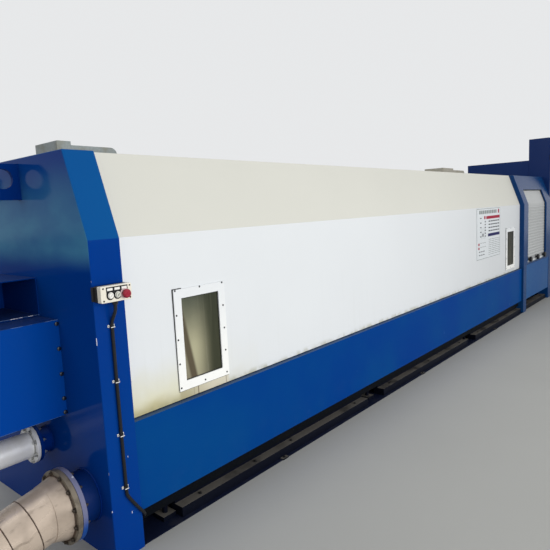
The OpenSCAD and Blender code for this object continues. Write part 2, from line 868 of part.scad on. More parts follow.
module die_box_cover() {
  color([0.0, 0.28, 0.62]) place()
    slab(-die_box_len - box_cover_t, 0, die_box_y, die_box_y + box_cover_t,
      die_box_z, die_box_top);
}

module supply_nozzle() {
  x0 = -supply_nozzle - supply_flange_t;
  color([0.0, 0.22, 0.50]) place() difference() {
    union() {
      bar_x(-supply_nozzle, 0, supply_y, supply_z, supply_r);
      bar_x(x0, -supply_nozzle, supply_y, supply_z, supply_flange_r);
    }
    bar_x(x0 - eps, -supply_wall, supply_y, supply_z, supply_r - supply_wall);
    bolt_ring(x0, supply_y, supply_z, supply_pcd_r, supply_hole_r, 8, supply_flange_t);
  }
}

module supply_pipe() {
  x1 = -supply_nozzle - supply_flange_t - gasket_t;
  x0 = -left_reach;
  t = supply_flange_t;
  color([0.62, 0.62, 0.60]) place() difference() {
    union() {
      bar_x(x0, x1, supply_y, supply_z, supply_r);
      bar_x(x1 - t, x1, supply_y, supply_z, supply_flange_r);
      bar_x(x1, x1 + gasket_t, supply_y, supply_z, supply_pcd_r - 2 * supply_hole_r);
      bar_x(x0, x0 + t, supply_y, supply_z, supply_flange_r);
    }
    bar_x(x0 - eps, x1 + gasket_t + eps, supply_y, supply_z, supply_r - supply_wall);
    bolt_ring(x1 - t, supply_y, supply_z, supply_pcd_r, supply_hole_r, 8, t);
    bolt_ring(x0, supply_y, supply_z, supply_pcd_r, supply_hole_r, 8, t);
  }
}

module return_nozzle() {
  x0 = -return_nozzle - return_flange_t;
  color([0.0, 0.24, 0.55]) place() difference() {
    union() {
      bar_x(-return_nozzle, 0, return_y, return_z, return_r);
      bar_x(x0, -return_nozzle, return_y, return_z, return_flange_r);
    }
    bar_x(x0 - eps, -return_wall, return_y, return_z, return_r - return_wall);
    bolt_ring(x0, return_y, return_z, return_pcd_r, return_hole_r, 12, return_flange_t);
  }
}

// The return pipe's leaning length at a radius, from height z0 at xa to the nozzle's at xb,
// cut square to X at x0 and x1
module leaning_length(xa, z0, xb, r, x0, x1) {
  reach = 2 * r / (xb - xa);
  d = [xb - xa, 0, return_z - z0] * reach;
  intersection() {
    bar_between([xa, return_y, z0] - d, [xb, return_y, return_z] + d, r);
    slab(x0, x1, return_y - 2 * r, return_y + 2 * r, z0 - 2 * r, return_z + 2 * r);
  }
}

// The return pipe: flange, cone, leaning length and an end flange
module return_pipe() {
  t = return_flange_t;
  bore = return_r - return_wall;
  mouth = return_r + cone_lip - return_wall + bore_step;
  x0 = -left_reach;
  x1 = x0 + t - step_d;
  x3 = -return_nozzle - t - gasket_t;
  x2 = x3 - t - cone_len;
  z0 = return_z - return_fall;
  color([0.78, 0.71, 0.65]) place() difference() {
    union() {
      bar_x(x3 - t, x3, return_y, return_z, return_flange_r);
      bar_x(x3 - eps, x3 + gasket_t, return_y, return_z, return_pcd_r - 2 * return_hole_r);
      translate([x2, return_y, return_z]) rotate([0, 90, 0])
        cylinder(h = cone_len + eps, r1 = return_r + cone_lip, r2 = cone_r);
      leaning_length(x1, z0, x2, return_r, x0 + t / 2, x2 + cone_len / 3);
      bar_x(x0, x0 + t, return_y, z0, return_flange_r);
    }
    bar_x(x2 + step_d, x3 + gasket_t + eps, return_y, return_z, mouth);
    leaning_length(x1, z0, x2, bore, x1 - eps, x2 + step_d + eps);
    bar_x(x0 - eps, x1, return_y, z0, mouth);
    bolt_ring(x3 - t, return_y, return_z, return_pcd_r, return_hole_r, 12, t);
    bolt_ring(x0, return_y, z0, return_pcd_r, return_hole_r, 12, t);
  }
}

module control_box_spacer() {
  color([0.05, 0.05, 0.06]) place()
    slab(box_x - spacer_out, box_x + box_w - 2 * spacer_out, -spacer_t, 0,
      box_z - box_h / 2 + 4, box_z + box_h / 2 - 4);
}

module control_box() {
  z0 = box_z - box_h / 2;
  color([0.86, 0.85, 0.78]) place() difference() {
    union() {
      translate([box_x, -spacer_t, z0]) rotate([90, 0, 0]) linear_extrude(height = box_d)
        round_rect(box_w, box_h, box_r);
      for (x = button_xs) bar_front(x, box_y, button_z, bezel_r, bezel_h);
    }
    for (x = button_xs)
      bar_front(x, box_y + stem_d + eps, button_z, button_r + button_gap,
        stem_d + bezel_h + 2 * eps);
  }
}

// One push button with its stem in the box, up to a height above the ring
module button_stem(i, out) {
  bar_front(button_xs[i], box_y + stem_d - stem_room, button_z, button_r,
    stem_d - stem_room + bezel_h + out);
}

module start_button() {
  color([0.88, 0.88, 0.84]) place() button_stem(0, button_out);
}

module jog_button() {
  color([0.62, 0.63, 0.62]) place() button_stem(1, button_out);
}

module stop_button() {
  e = stop_edge;
  color([0.65, 0.12, 0.20]) place() {
    button_stem(2, stop_gap);
    translate([button_xs[2], box_y - bezel_h - stop_gap, button_z]) rotate([90, 0, 0])
      rotate_extrude() polygon([[0, 0], [stop_r - e, 0], [stop_r, e],
        [stop_r, stop_h - stop_dome], [stop_r - e, stop_h - e], [stop_r - stop_dome, stop_h],
        [0, stop_h]]);
  }
}

// The conduit's route, from the gland down the column and under the skirt
conduit_y = -conduit_r - conduit_gap;
gland_x = conduit_x + gland_side;
gland_y = -spacer_t - gland_out;
gland_z = box_z - box_h / 2 - gland_h;
turn_x = column_w + conduit_r + turn_gap;
clip_low_z = clip_z - (clip_count - 1) * clip_pitch;
entry_z = bed_z + entry_rise;
conduit_path = [
  [gland_x, gland_y, gland_z],
  [gland_x, gland_y, gland_z - 16],
  [gland_x - 2, gland_y + 3, gland_z - 34],
  [conduit_x + 2, conduit_y - 4, gland_z - 70],
  [conduit_x, conduit_y, gland_z - 92],
  [conduit_x, conduit_y, clip_low_z - 26],
  [conduit_x + 6, conduit_y, clip_low_z - 48],
  [column_w - 16, conduit_y, skirt_z + 34],
  [column_w + 2, conduit_y, skirt_z + 12],
  [turn_x - 2, conduit_y + 4, skirt_z - 6],
  [turn_x, skirt_set - 4, skirt_z - 22],
  [turn_x, beam_set - 16, entry_z],
  [turn_x, beam_set, entry_z]];

// The ring of points round a route's point i, square to the way the route runs there
function unit(v) = v / norm(v);
function way(path, i) = unit(path[min(i + 1, len(path) - 1)] - path[max(i - 1, 0)]);
function ring(path, i, r, sides) = let (t = way(path, i), u = unit(cross(t, [1, 0, 0])),
  v = cross(t, u)) [for (k = [0 : sides - 1])
    path[i] + r * (cos(k * 360 / sides) * u + sin(k * 360 / sides) * v)];

// A closed tube swept along a route
module tube(path, r, sides) {
  n = len(path);
  points = [for (i = [0 : n - 1]) each ring(path, i, r, sides)];
  walls = [for (i = [0 : n - 2], k = [0 : sides - 1]) let (m = (k + 1) % sides)
    [i * sides + k, (i + 1) * sides + k, (i + 1) * sides + m, i * sides + m]];
  first = [for (k = [0 : sides - 1]) k];
  last = [for (k = [sides - 1 : -1 : 0]) (n - 1) * sides + k];
  polyhedron(points, concat(walls, [first, last]), convexity = 4);
}

module cable_conduit() {
  color([0.05, 0.05, 0.06]) place() {
    translate([gland_x, gland_y, gland_z]) cylinder(h = gland_h, r = gland_r);
    tube(conduit_path, conduit_r, 12);
  }
}

module conduit_clips() {
  color([0.90, 0.90, 0.88]) place()
    for (z = [clip_z : -clip_pitch : clip_low_z]) difference() {
      union() {
        slab(conduit_x - clip_w / 2, conduit_x + clip_w / 2, -clip_t, 0,
          z - clip_h / 2, z + clip_h / 2);
        translate([conduit_x, conduit_y, z - clip_h / 2])
          cylinder(h = clip_h, r = conduit_r + clip_t);
      }
      translate([conduit_x, conduit_y, z - clip_h / 2 - eps])
        cylinder(h = clip_h + 2 * eps, r = conduit_r + clip_gap);
      slab(conduit_x - clip_w, conduit_x + clip_w, 0, clip_w, z - clip_h, z + clip_h);
    }
}

// A line that follows the housing's front at a depth behind it, from z0 to z1
function front_line(depth, z0, z1) = [
  [depth, z0],
  [depth, fold_z - depth * tan(lean / 2)],
  [depth / cos(lean) + (z1 - fold_z) * tan(lean), z1]];

// A layer behind the housing's front, between two depths
function front_layer(d0, d1, z0, z1) = concat(front_line(d0, z0, z1),
  [for (i = [2 : -1 : 0]) front_line(d1, z0, z1)[i]]);

module take_up_housing() {
  x0 = section_len;
  x1 = housing_x1;
  color([0.0, 0.24, 0.55]) place() {
    difference() {
      along_x(x0, x1, body_outline(0, body_depth, skirt_z));
      along_x(shutter_x0, shutter_x1,
        front_layer(-sill_h, shutter_recess, shutter_z, shutter_top_z));
      slab(x0 + leg_w, x1 - leg_w, -eps, panel_recess, skirt_z - eps, shutter_z - sill_h);
    }
    for (x = [x0, x1 - leg_w], y = [0, body_depth - leg_d])
      slab(x, x + leg_w, y, y + leg_d, 0, skirt_z);
    pitch = (housing_w - cover_gap) / back_cover_count;
    for (i = [0 : back_cover_count - 1])
      translate([x0 + cover_gap + i * pitch, back_y, skirt_z + cover_inset])
        rotate([90, 0, 0]) linear_extrude(height = cover_t + eps)
          round_rect(pitch - cover_gap, roof_z - skirt_z - 2 * cover_inset, cover_r);
  }
}

module housing_front_panel() {
  color([0.0, 0.28, 0.60]) place()
    slab(section_len + leg_w + panel_seam, housing_x1 - leg_w - panel_seam, panel_seam,
      panel_recess, skirt_z + panel_seam, shutter_z - sill_h - panel_seam);
}

// The closed curtain: a thin sheet with a rounded slat at each step
module shutter_curtain() {
  back = shutter_recess;
  front = back - curtain_t;
  z0 = shutter_z + rail_h;
  flat = fold_z - z0;
  count = floor(flat / slat_pitch);
  up = (shutter_top_z - fold_z) / cos(lean);
  count_up = floor(up / slat_pitch);
  h = slat_pitch - 6;
  color([0.74, 0.76, 0.78]) place() {
    along_x(shutter_x0, shutter_x1, front_layer(front, back, z0, shutter_top_z));
    for (i = [0 : count - 1]) translate([0, 0, z0 + i * slat_pitch])
      along_x(shutter_x0 + 2, shutter_x1 - 2, [[front, 0], [front - slat_rise, h * 0.3],
        [front - slat_rise, h * 0.7], [front, h]]);
    for (i = [0 : count_up - 1])
      translate([0, 0, fold_z]) rotate([-lean, 0, 0]) translate([0, 0, i * slat_pitch + 6])
        along_x(shutter_x0 + 2, shutter_x1 - 2, [[front, 0], [front - slat_rise, h * 0.3],
          [front - slat_rise, h * 0.7], [front, h]]);
  }
}

module shutter_rail() {
  y1 = shutter_recess;
  y0 = y1 - rail_t;
  color([0.86, 0.87, 0.87]) place()
    along_x(shutter_x0 + 2, shutter_x1 - 2, [[y1, shutter_z], [y0, shutter_z],
      [y0, shutter_z + rail_foot], [y0 + rail_step, shutter_z + rail_foot + rail_step],
      [y0 + rail_step, shutter_z + rail_h], [y1, shutter_z + rail_h]]);
}

module shutter_knobs() {
  y = shutter_recess - rail_t;
  color([0.05, 0.05, 0.06]) place()
    for (i = [0 : knob_count - 1])
      translate([shutter_x0 + knob_left + i * knob_pitch, y + rail_step,
        shutter_z + rail_foot + rail_step + knob_neck_r + eps])
        rotate([90, 0, 0]) rotate_extrude()
          polygon([[0, 0], [knob_neck_r, 0], [knob_neck_r, knob_neck],
            [knob_r - knob_edge, knob_neck + 1], [knob_r, knob_neck + knob_edge],
            [knob_r, knob_h], [knob_r - knob_edge, knob_h + knob_edge],
            [0, knob_h + knob_edge + 1]]);
}

module exit_cabinet_front() {
  x0 = housing_x1;
  x1 = machine_x1;
  y0 = cabinet_set;
  y1 = cabinet_set + cabinet_front_d;
  s = door_seam;
  w = (x1 - x0 - 3 * s) / 2;
  color([0.02, 0.12, 0.32]) place() {
    slab(x0, x1, y0 + door_t, y1, plinth_h, cabinet_front_z);
    slab(x0 + plinth_set, x1 - plinth_set, y0 + door_t + plinth_set, y1, 0, plinth_h);
    for (i = [0, 1])
      slab(x0 + s + i * (w + s), x0 + s + i * (w + s) + w, y0, y0 + door_t,
        plinth_h + s, cabinet_front_z - s);
  }
}

module exit_cabinet_rear() {
  x0 = housing_x1;
  x1 = machine_x1;
  y0 = cabinet_set + cabinet_front_d;
  color([0.02, 0.12, 0.32]) place() {
    slab(x0, x1, y0, body_depth, plinth_h, cabinet_rear_z);
    slab(x0 + plinth_set, x1 - plinth_set, y0, body_depth - plinth_set, 0, plinth_h);
  }
}

module hood_front_panel() {
  y = hood_set;
  t = sheet_t;
  g = pane_gap;
  color([0.85, 0.86, 0.88]) place() difference() {
    union() {
      along_x(hood_x0, hood_x1, [[y, hood_z0], [y, fold_z], [y + t, fold_z - fold_mitre],
        [y + t, hood_z0]]);
      for (x = rib_xs)
        slab(x - rib_w / 2, x + rib_w / 2, y + t, y + t + rib_d, hood_z0 + rib_inset,
          fold_z - rib_inset);
    }
    for (x = win_xs)
      slab(x + pane_in - g, x + pane_in + pane_w + g, y - eps, y + t + eps,
        win_z + pane_in - g, win_z + pane_in + pane_h + g);
  }
}

module hood_slope_panel() {
  y = hood_set;
  t = sheet_t;
  y1 = hood_brow_y;
  run = (roof_z - fold_z) / cos(lean);
  color([0.86, 0.87, 0.84]) place() {
    along_x(hood_x0, hood_x1, [[y, fold_z], [y1, roof_z], [y1 + brow_mitre, roof_z - t],
      [y + t, fold_z - fold_mitre]]);
    for (x = rib_xs)
      translate([0, y, fold_z]) rotate([-lean, 0, 0])
        slab(x - rib_w / 2, x + rib_w / 2, t / 2, t + rib_d, rib_inset, run - 2 * rib_inset);
  }
}

module hood_top_panel() {
  t = sheet_t;
  y1 = hood_brow_y;
  color([0.86, 0.87, 0.84]) place() {
    along_x(hood_x0, hood_x1, [[y1, roof_z], [hood_rear_y, roof_z],
      [hood_rear_y, roof_z - t], [y1 + brow_mitre, roof_z - t]]);
    for (x = rib_xs)
      slab(x - rib_w / 2, x + rib_w / 2, y1 + 2 * rib_inset, hood_rear_y - rib_inset,
        roof_z - t - rib_d, roof_z - t);
  }
}

// The hood's end plate fills the outline inside its panels
module hood_end(x) {
  y = hood_set + sheet_t;
  color([0.85, 0.86, 0.86]) place()
    along_x(x, x + sheet_t, [[y, hood_z0], [y, fold_z - fold_mitre],
      [hood_brow_y + brow_mitre, roof_z - sheet_t], [hood_rear_y, roof_z - sheet_t],
      [hood_rear_y, hood_z0]]);
}

module hood_end_left() {
  hood_end(hood_x0);
}

module hood_end_right() {
  hood_end(hood_x1 - sheet_t);
}

module window_frames() {
  b = win_border;
  color([0.92, 0.92, 0.89]) place()
    for (x = win_xs) difference() {
      slab(x, x + win_w, hood_set - win_t, hood_set, win_z, win_z + win_h);
      slab(x + b, x + win_w - b, hood_set - win_t - eps, hood_set + eps,
        win_z + b, win_z + win_h - b);
    }
}

module window_panes() {
  color([0.45, 0.44, 0.34]) place()
    for (x = win_xs)
      slab(x + pane_in, x + pane_in + pane_w, hood_set, hood_set + pane_t,
        win_z + pane_in, win_z + pane_in + pane_h);
}

module hood_hinge_arms() {
  y0 = hood_rear_y - hinge_set - hinge_foot_d;
  y1 = hood_rear_y - hinge_set;
  color([0.15, 0.16, 0.18]) place()
    for (x = hinge_xs) difference() {
      union() {
        bar_x(x - arm_t / 2, x + arm_t / 2, axis_y, axis_z, boss_r);
        slab(x - 2 * arm_t, x + 2 * arm_t, y0, y1, roof_z, roof_z + hinge_foot_t);
        along_x(x - arm_t / 2, x + arm_t / 2, [[y0 + web_inset, roof_z + hinge_foot_t],
          [axis_y, axis_z + boss_r - web_drop], [axis_y, axis_z - web_drop],
          [y1, roof_z + hinge_foot_t]]);
      }
      bar_x(x - arm_t, x + arm_t, axis_y, axis_z, pin_r + pin_gap);
    }
}

module hood_lifting_eyes() {
  color([0.06, 0.06, 0.07]) place()
    for (x = [hood_x0 + eye_left, hood_x1 - eye_right]) {
      translate([x, eye_y, roof_z]) cylinder(h = 8, r = eye_r);
      translate([x, eye_y, roof_z + 8 + eye_r - 2]) rotate([90, 0, 0])
        rotate_extrude() translate([eye_r - eye_bar_r, 0]) circle(r = eye_bar_r);
    }
}

bed_frame();
levelling_feet();
sole_plates();
front_skirt();
rear_skirt();
left_end_wall();
left_end_column();
chamber_floor();
chamber_back_wall();
gear_case();
gear_case_covers();
roof_panel();
capstans_upper();
capstans_lower();
die_holders();
hinge_brackets();
hinge_pins();
lift_cover_left();
lift_cover_right();
lifting_lugs();
entry_box();
die_box();
die_box_cover();
supply_nozzle();
supply_pipe();
return_nozzle();
return_pipe();
control_box_spacer();
control_box();
start_button();
jog_button();
stop_button();
cable_conduit();
conduit_clips();
take_up_housing();
housing_front_panel();
shutter_curtain();
shutter_rail();
shutter_knobs();
exit_cabinet_front();
exit_cabinet_rear();
hood_front_panel();
hood_slope_panel();
hood_top_panel();
hood_end_left();
hood_end_right();
window_frames();
window_panes();
hood_hinge_arms();
hood_lifting_eyes();
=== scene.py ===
# %% [markdown]
# A wire drawing machine is nine metres of painted sheet metal. Its engineering model has
# every panel, flange and hinge in its real size and place. This lesson dresses that model:
# we round its edges, bolt on the fasteners and give each surface its finish.
#
# Everything is in metres. X runs along the machine, Y from its front to its back, Z up.
# %% Load the machine
import json
import math
from contextlib import contextmanager

import bmesh
import bpy
from mathutils import Matrix, Vector


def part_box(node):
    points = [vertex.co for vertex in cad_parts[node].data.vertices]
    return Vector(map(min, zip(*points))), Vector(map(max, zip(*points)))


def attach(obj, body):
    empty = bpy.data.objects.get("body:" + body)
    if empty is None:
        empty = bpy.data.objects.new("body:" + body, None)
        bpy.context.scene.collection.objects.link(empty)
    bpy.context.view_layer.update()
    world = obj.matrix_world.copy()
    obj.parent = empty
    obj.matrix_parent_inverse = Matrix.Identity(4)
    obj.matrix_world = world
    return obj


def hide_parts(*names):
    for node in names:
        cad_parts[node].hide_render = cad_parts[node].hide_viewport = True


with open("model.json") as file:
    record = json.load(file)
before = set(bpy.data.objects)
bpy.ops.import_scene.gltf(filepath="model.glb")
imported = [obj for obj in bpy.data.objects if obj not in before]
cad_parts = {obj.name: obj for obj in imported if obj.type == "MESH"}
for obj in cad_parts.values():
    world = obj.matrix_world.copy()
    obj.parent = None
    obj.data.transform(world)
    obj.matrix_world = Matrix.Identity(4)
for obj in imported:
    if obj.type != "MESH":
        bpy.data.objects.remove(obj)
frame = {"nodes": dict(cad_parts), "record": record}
machine = frame["nodes"]
bodies = frame["record"]["behaviour"]["bodies"]
machine_body = {node: body for body, members in bodies.items() for node in members}
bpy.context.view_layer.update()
bpy.context.scene.view_settings.view_transform = "Standard"
print("pieces in the model:", len(machine))

# %% [markdown]
# The picture was taken off the machine's left front corner, at about chest height, with a
# wide lens. These numbers put our camera at the same spot.
# %% Place the camera
camera_place = (-5.267, -2.634, 1.560)
camera_turn = (82.884, 2.726, -49.675)

bpy.ops.object.camera_add(location=camera_place, rotation=[math.radians(a) for a in camera_turn])
camera = bpy.context.object
camera.name = "photo_camera"
camera.data.lens = 34.36
camera.data.sensor_width = 36
camera.data.clip_end = 200
bpy.context.scene.camera = camera

# %% [markdown]
# An operator works on whatever is selected. `take` selects exactly the given objects, and
# `editing` opens a piece in edit mode for the lines under it.
# %% Helpers for selecting
def take(*pieces):
    """Selects these objects and nothing else."""
    if bpy.context.object and bpy.context.object.mode != "OBJECT":
        bpy.ops.object.mode_set(mode="OBJECT")
    bpy.ops.object.select_all(action="DESELECT")
    for piece in pieces:
        piece.select_set(True)
    bpy.context.view_layer.objects.active = pieces[0]


@contextmanager
def editing(piece, faces=None, edges=None):
    """Edit mode, with the faces selected whose centre and normal pass, or the edges whose
    two ends pass, or else everything."""
    take(piece)
    bpy.ops.object.mode_set(mode="EDIT")
    bpy.ops.mesh.select_mode(type="FACE" if faces else "EDGE")
    bpy.ops.mesh.select_all(action="DESELECT" if faces or edges else "SELECT")
    shape = bmesh.from_edit_mesh(piece.data)
    for face in shape.faces if faces else ():
        face.select_set(bool(faces(face.calc_center_median(), face.normal)))
    for edge in shape.edges if edges else ():
        edge.select_set(bool(edges(edge.verts[0].co, edge.verts[1].co)))
    bmesh.update_edit_mesh(piece.data)
    yield
    bpy.ops.object.mode_set(mode="OBJECT")


def settle(name, scale=(1, 1, 1)):
    """Names the newest object and writes its place, turn and scale into its mesh."""
    piece = bpy.context.object
    piece.name = name
    piece.scale = scale
    take(piece)
    bpy.ops.object.transform_apply(location=True, rotation=True, scale=True)
    return piece


# %% [markdown]
# Two primitives start almost every fitting: a block and a round bar. Each one's place is
# applied at once, so that the object itself stays at the origin.
# %% Helpers for starting a shape
def block(name, low, high):
    """A block between two corners."""
    low, high = Vector(low), Vector(high)
    bpy.ops.mesh.primitive_cube_add(size=1, location=(low + high) / 2)
    return settle(name, high - low)


def round_bar(name, centre, radius, length, sides=32):
    """An upright round bar whose middle is at centre."""
    bpy.ops.mesh.primitive_cylinder_add(vertices=sides, radius=radius, depth=length,
                                        location=centre)
    return settle(name)


def join(name, pieces):
    """Joins pieces into one object with that name."""
    take(*pieces)
    if len(pieces) > 1:
        bpy.ops.object.join()
    piece = bpy.context.object
    piece.name = name
    return piece


def copy_to(template, place, turn=(0, 0, 0)):
    """A copy of a template with a mesh of its own, turned and then moved."""
    piece = template.copy()
    piece.data = template.data.copy()
    bpy.context.collection.objects.link(piece)
    turned = Matrix.Rotation(turn[2], 4, "Z") @ Matrix.Rotation(turn[1], 4, "Y")
    turned = turned @ Matrix.Rotation(turn[0], 4, "X")
    piece.data.transform(Matrix.Translation(place) @ turned)
    return piece


# %% [markdown]
# No real edge is perfectly sharp. A bevel of a millimetre or two catches the light along
# every corner. Only edges that turn by more than a set angle get one, so a tube's facets
# stay as they are.
# %% Helpers for finishing a shape
SHARP = math.radians(40)
finishes = {}


def smooth(angle):
    """Smooths the selection, apart from edges that turn by more than an angle in degrees."""
    bpy.ops.object.shade_smooth_by_angle(angle=math.radians(angle))


def modify(piece, kind, **settings):
    """Adds a modifier with these settings and applies it."""
    take(piece)
    bpy.ops.object.modifier_add(type=kind)
    modifier = piece.modifiers[-1]
    for name, value in settings.items():
        setattr(modifier, name, value)
    bpy.ops.object.modifier_apply(modifier=modifier.name)
    return piece


def even_shading(piece):
    """Smooths a piece and weighs its normals by area, so that large flat faces look flat."""
    take(piece)
    smooth(40)
    return modify(piece, "WEIGHTED_NORMAL", keep_sharp=True)


def round_edges(piece, width, segments=2):
    """Bevels a piece's sharp edges and smooths it."""
    if width:
        modify(piece, "BEVEL", width=width, segments=segments, limit_method="ANGLE",
               angle_limit=SHARP, miter_outer="MITER_ARC")
    return even_shading(piece)


def hand_over(piece, finish, body="root", stands_for=()):
    """Gives a piece its finish, and lets it ride on a body of the machine."""
    piece.data.materials.clear()
    piece.data.materials.append(finishes[finish])
    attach(piece, body)
    if stands_for:
        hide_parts(*stands_for)
    return piece


def fitted(name, pieces, width, finish, body="root", stands_for=()):
    """Joins pieces, rounds their edges and hands them over."""
    return hand_over(round_edges(join(name, pieces), width), finish, body, stands_for)


def dress(node, finish, width, segments=2):
    """A copy of a node's solid with its seams merged and its edges rounded, in its place."""
    take(machine[node])
    bpy.ops.object.duplicate(linked=False)
    piece = bpy.context.object
    piece.name = node + "_dressed"
    with editing(piece):
        bpy.ops.mesh.remove_doubles(threshold=0.00002)
        bpy.ops.mesh.dissolve_limited(angle_limit=math.radians(0.3))
    take(piece)
    if piece.data.has_custom_normals:
        bpy.ops.mesh.customdata_custom_splitnormals_clear()
    round_edges(piece, width, segments)
    return hand_over(piece, finish, machine_body[node], (node,))


# %% [markdown]
# A finish is a small graph of nodes. A `Finish` offers one short call for each kind of
# node, and enters its material in `finishes`. All patterns read Object coordinates, and our
# pieces sit at the origin, so these are metres on the machine.
# %% A builder for finishes
class Finish:
    """A material under construction: a principled surface and the nodes that feed it."""

    def __init__(self, name):
        self.material = bpy.data.materials.new(name)
        self.material.use_nodes = True
        finishes[name] = self.material
        self.nodes = self.material.node_tree.nodes
        self.links = self.material.node_tree.links
        self.surface = self.nodes["Principled BSDF"]
        self.place = self.nodes.new("ShaderNodeTexCoord").outputs["Object"]

    def feed(self, socket, value):
        """Links an output to a socket, or sets a plain value on it."""
        if isinstance(value, bpy.types.NodeSocket):
            self.links.new(value, socket)
        else:
            socket.default_value = value

    def set(self, **values):
        """Sets the surface's own sockets, with underscores for spaces."""
        for name, value in values.items():
            self.feed(self.surface.inputs[name.replace("_", " ")], value)

    def math(self, operation, a, b=0.0, c=0.0):
        """A math node."""
        node = self.nodes.new("ShaderNodeMath")
        node.operation = operation
        for socket, value in zip(node.inputs, (a, b, c)):
            self.feed(socket, value)
        return node.outputs[0]

    def times(self, a, b, plus=0.0):
        """a times b, plus a third value."""
        return self.math("MULTIPLY_ADD", a, b, plus)

    def beside(self, value, line):
        """How far a value is from a line, on either side of it."""
        return self.math("ABSOLUTE", self.math("SUBTRACT", value, line))

    def axis(self, name, of=None):
        """One of the three parts of a vector."""
        node = self.nodes.new("ShaderNodeSeparateXYZ")
        self.feed(node.inputs[0], of or self.place)
        return node.outputs[name]

    def fade(self, value, start, end):
        """Rises smoothly from 0 at start to 1 at end, or falls if end is the lower."""
        node = self.nodes.new("ShaderNodeMapRange")
        node.interpolation_type = "SMOOTHSTEP"
        turned = end < start
        for socket, given in zip(node.inputs, (value, min(start, end), max(start, end),
                                               float(turned), float(not turned))):
            self.feed(socket, given)
        return node.outputs[0]

    def noise(self, scale, detail=3.0, stretch=(1, 1, 1)):
        """Noise from 0 to 1, with scale in waves a metre."""
        where = self.nodes.new("ShaderNodeMapping")
        where.inputs["Scale"].default_value = stretch
        self.feed(where.inputs["Vector"], self.place)
        node = self.nodes.new("ShaderNodeTexNoise")
        node.inputs["Scale"].default_value = scale
        node.inputs["Detail"].default_value = detail
        self.feed(node.inputs["Vector"], where.outputs[0])
        return node.outputs["Fac"]

    def patches(self, scale, detail, start, end, stretch=(1, 1, 1)):
        """Noise, with a fade over it that turns it into patches."""
        return self.fade(self.noise(scale, detail, stretch), start, end)

    def specks(self, scale, size, share):
        """Small round specks, kept in only a share of the cells."""
        node = self.nodes.new("ShaderNodeTexVoronoi")
        node.inputs["Scale"].default_value = scale
        self.feed(node.inputs["Vector"], self.place)
        near = self.math("LESS_THAN", node.outputs["Distance"], size * scale)
        pick = self.math("LESS_THAN", self.axis("X", node.outputs["Color"]), share)
        return self.times(near, pick)

    def mix(self, amount, a, b):
        """Blends from colour a to colour b."""
        node = self.nodes.new("ShaderNodeMix")
        node.data_type = "RGBA"
        self.feed(node.inputs["Factor"], amount)
        for socket, value in ((node.inputs[6], a), (node.inputs[7], b)):
            if not isinstance(value, bpy.types.NodeSocket):
                value = (*value, 1)
            self.feed(socket, value)
        return node.outputs[2]

    def over(self, tone, amount, share, colour):
        """Lays a colour over a tone by a share of an amount."""
        return self.mix(self.times(amount, share), tone, colour)

    def facing(self, axis, start, end):
        """Rises from 0 to 1 as one part of the surface's normal goes from start to end."""
        shape = self.nodes.new("ShaderNodeNewGeometry")
        return self.fade(self.axis(axis, shape.outputs["Normal"]), start, end)

    def relief(self, height, distance, strength=0.5, under=None):
        """Turns a height from 0 to 1 into relief of that distance in metres."""
        node = self.nodes.new("ShaderNodeBump")
        node.inputs["Distance"].default_value = distance
        node.inputs["Strength"].default_value = strength
        self.feed(node.inputs["Height"], height)
        if under:
            self.feed(node.inputs["Normal"], under)
        return node.outputs[0]

    def skin(self, scale, waves, wave_depth):
        """A sprayed coat's orange peel, on long waves in the sheet."""
        wavy = self.relief(self.noise(waves, 1), wave_depth, 1.0)
        self.set(Normal=self.relief(self.noise(scale, 1), 0.00003, 0.5, wavy))


def darker(colour, by):
    """A colour times a number."""
    return [c * by for c in colour]


# %% [markdown]
# The blue is a sprayed enamel. The sheet under it is a little wavy, which makes reflections
# wander, the spray leaves orange peel, and years of work leave fine dust. A few small chips
# show the pale primer. On the left end, a pale painted reflection lies in the colour above the
# boxes, and a fainter one on the folded slope.
# %% Enamel for the blue sheets
def painted_reflection(paint, height, tone, amount):
    """A painted reflection: a paler colour on the end above its boxes, fainter on the folded
    slope.
    """
    band = paint.times(paint.fade(height, 1.32, 1.44), paint.fade(height, 1.86, 1.52))
    blotches = paint.times(paint.patches(2.4, 3, 0.3, 0.7, (1, 1, 2)), 0.45, 0.55)
    wall = paint.times(paint.facing("X", -0.6, -0.95), paint.times(band, blotches))
    tone = paint.over(tone, wall, amount, (0.070, 0.270, 0.400))
    # The fainter painted reflection on the column's folded slope.
    slope = paint.times(paint.facing("Z", 0.10, 0.25), paint.facing("Z", 0.8, 0.6))
    return paint.over(tone, slope, 0.3 * amount, (0.010, 0.210, 0.380))


def enamel(name, colour, faded, gloss=0.16, shine=0.12, waves=0.0012, chips=0.03, dust=0.5,
           grime=0.08, painted_sheen=0.0):
    """Glossy machine enamel with waves, orange peel, dust, grime low down and a few chips."""
    paint = Finish(name)
    height = paint.axis("Z")
    tone = paint.mix(paint.patches(1.3, 3, 0.35, 0.75), colour, faded)
    worn = paint.times(paint.fade(height, 0.45, 0.02), paint.patches(9, 5, 0.45, 0.8))
    tone = paint.over(tone, worn, grime, (0.16, 0.17, 0.17))
    settled = paint.times(paint.facing("Z", 0.55, 0.95), paint.patches(14, 5, 0.05, 0.5))
    tone = paint.over(tone, settled, dust, (0.19, 0.25, 0.27))
    # Where asked for, a painted reflection is laid into the colour on the left end.
    if painted_sheen:
        tone = painted_reflection(paint, height, tone, painted_sheen)
    tone = paint.mix(paint.specks(7, 0.0035, chips), tone, (0.50, 0.53, 0.56))
    paint.set(Base_Color=tone, Specular_IOR_Level=shine, IOR=1.25)
    rough = paint.times(paint.noise(22, 4), 0.10, gloss - 0.04)
    rough = paint.math("ADD", rough, paint.times(worn, 2 * grime))
    paint.set(Roughness=paint.math("ADD", rough, paint.times(settled, 0.35)))
    paint.skin(420, 2.2, waves)


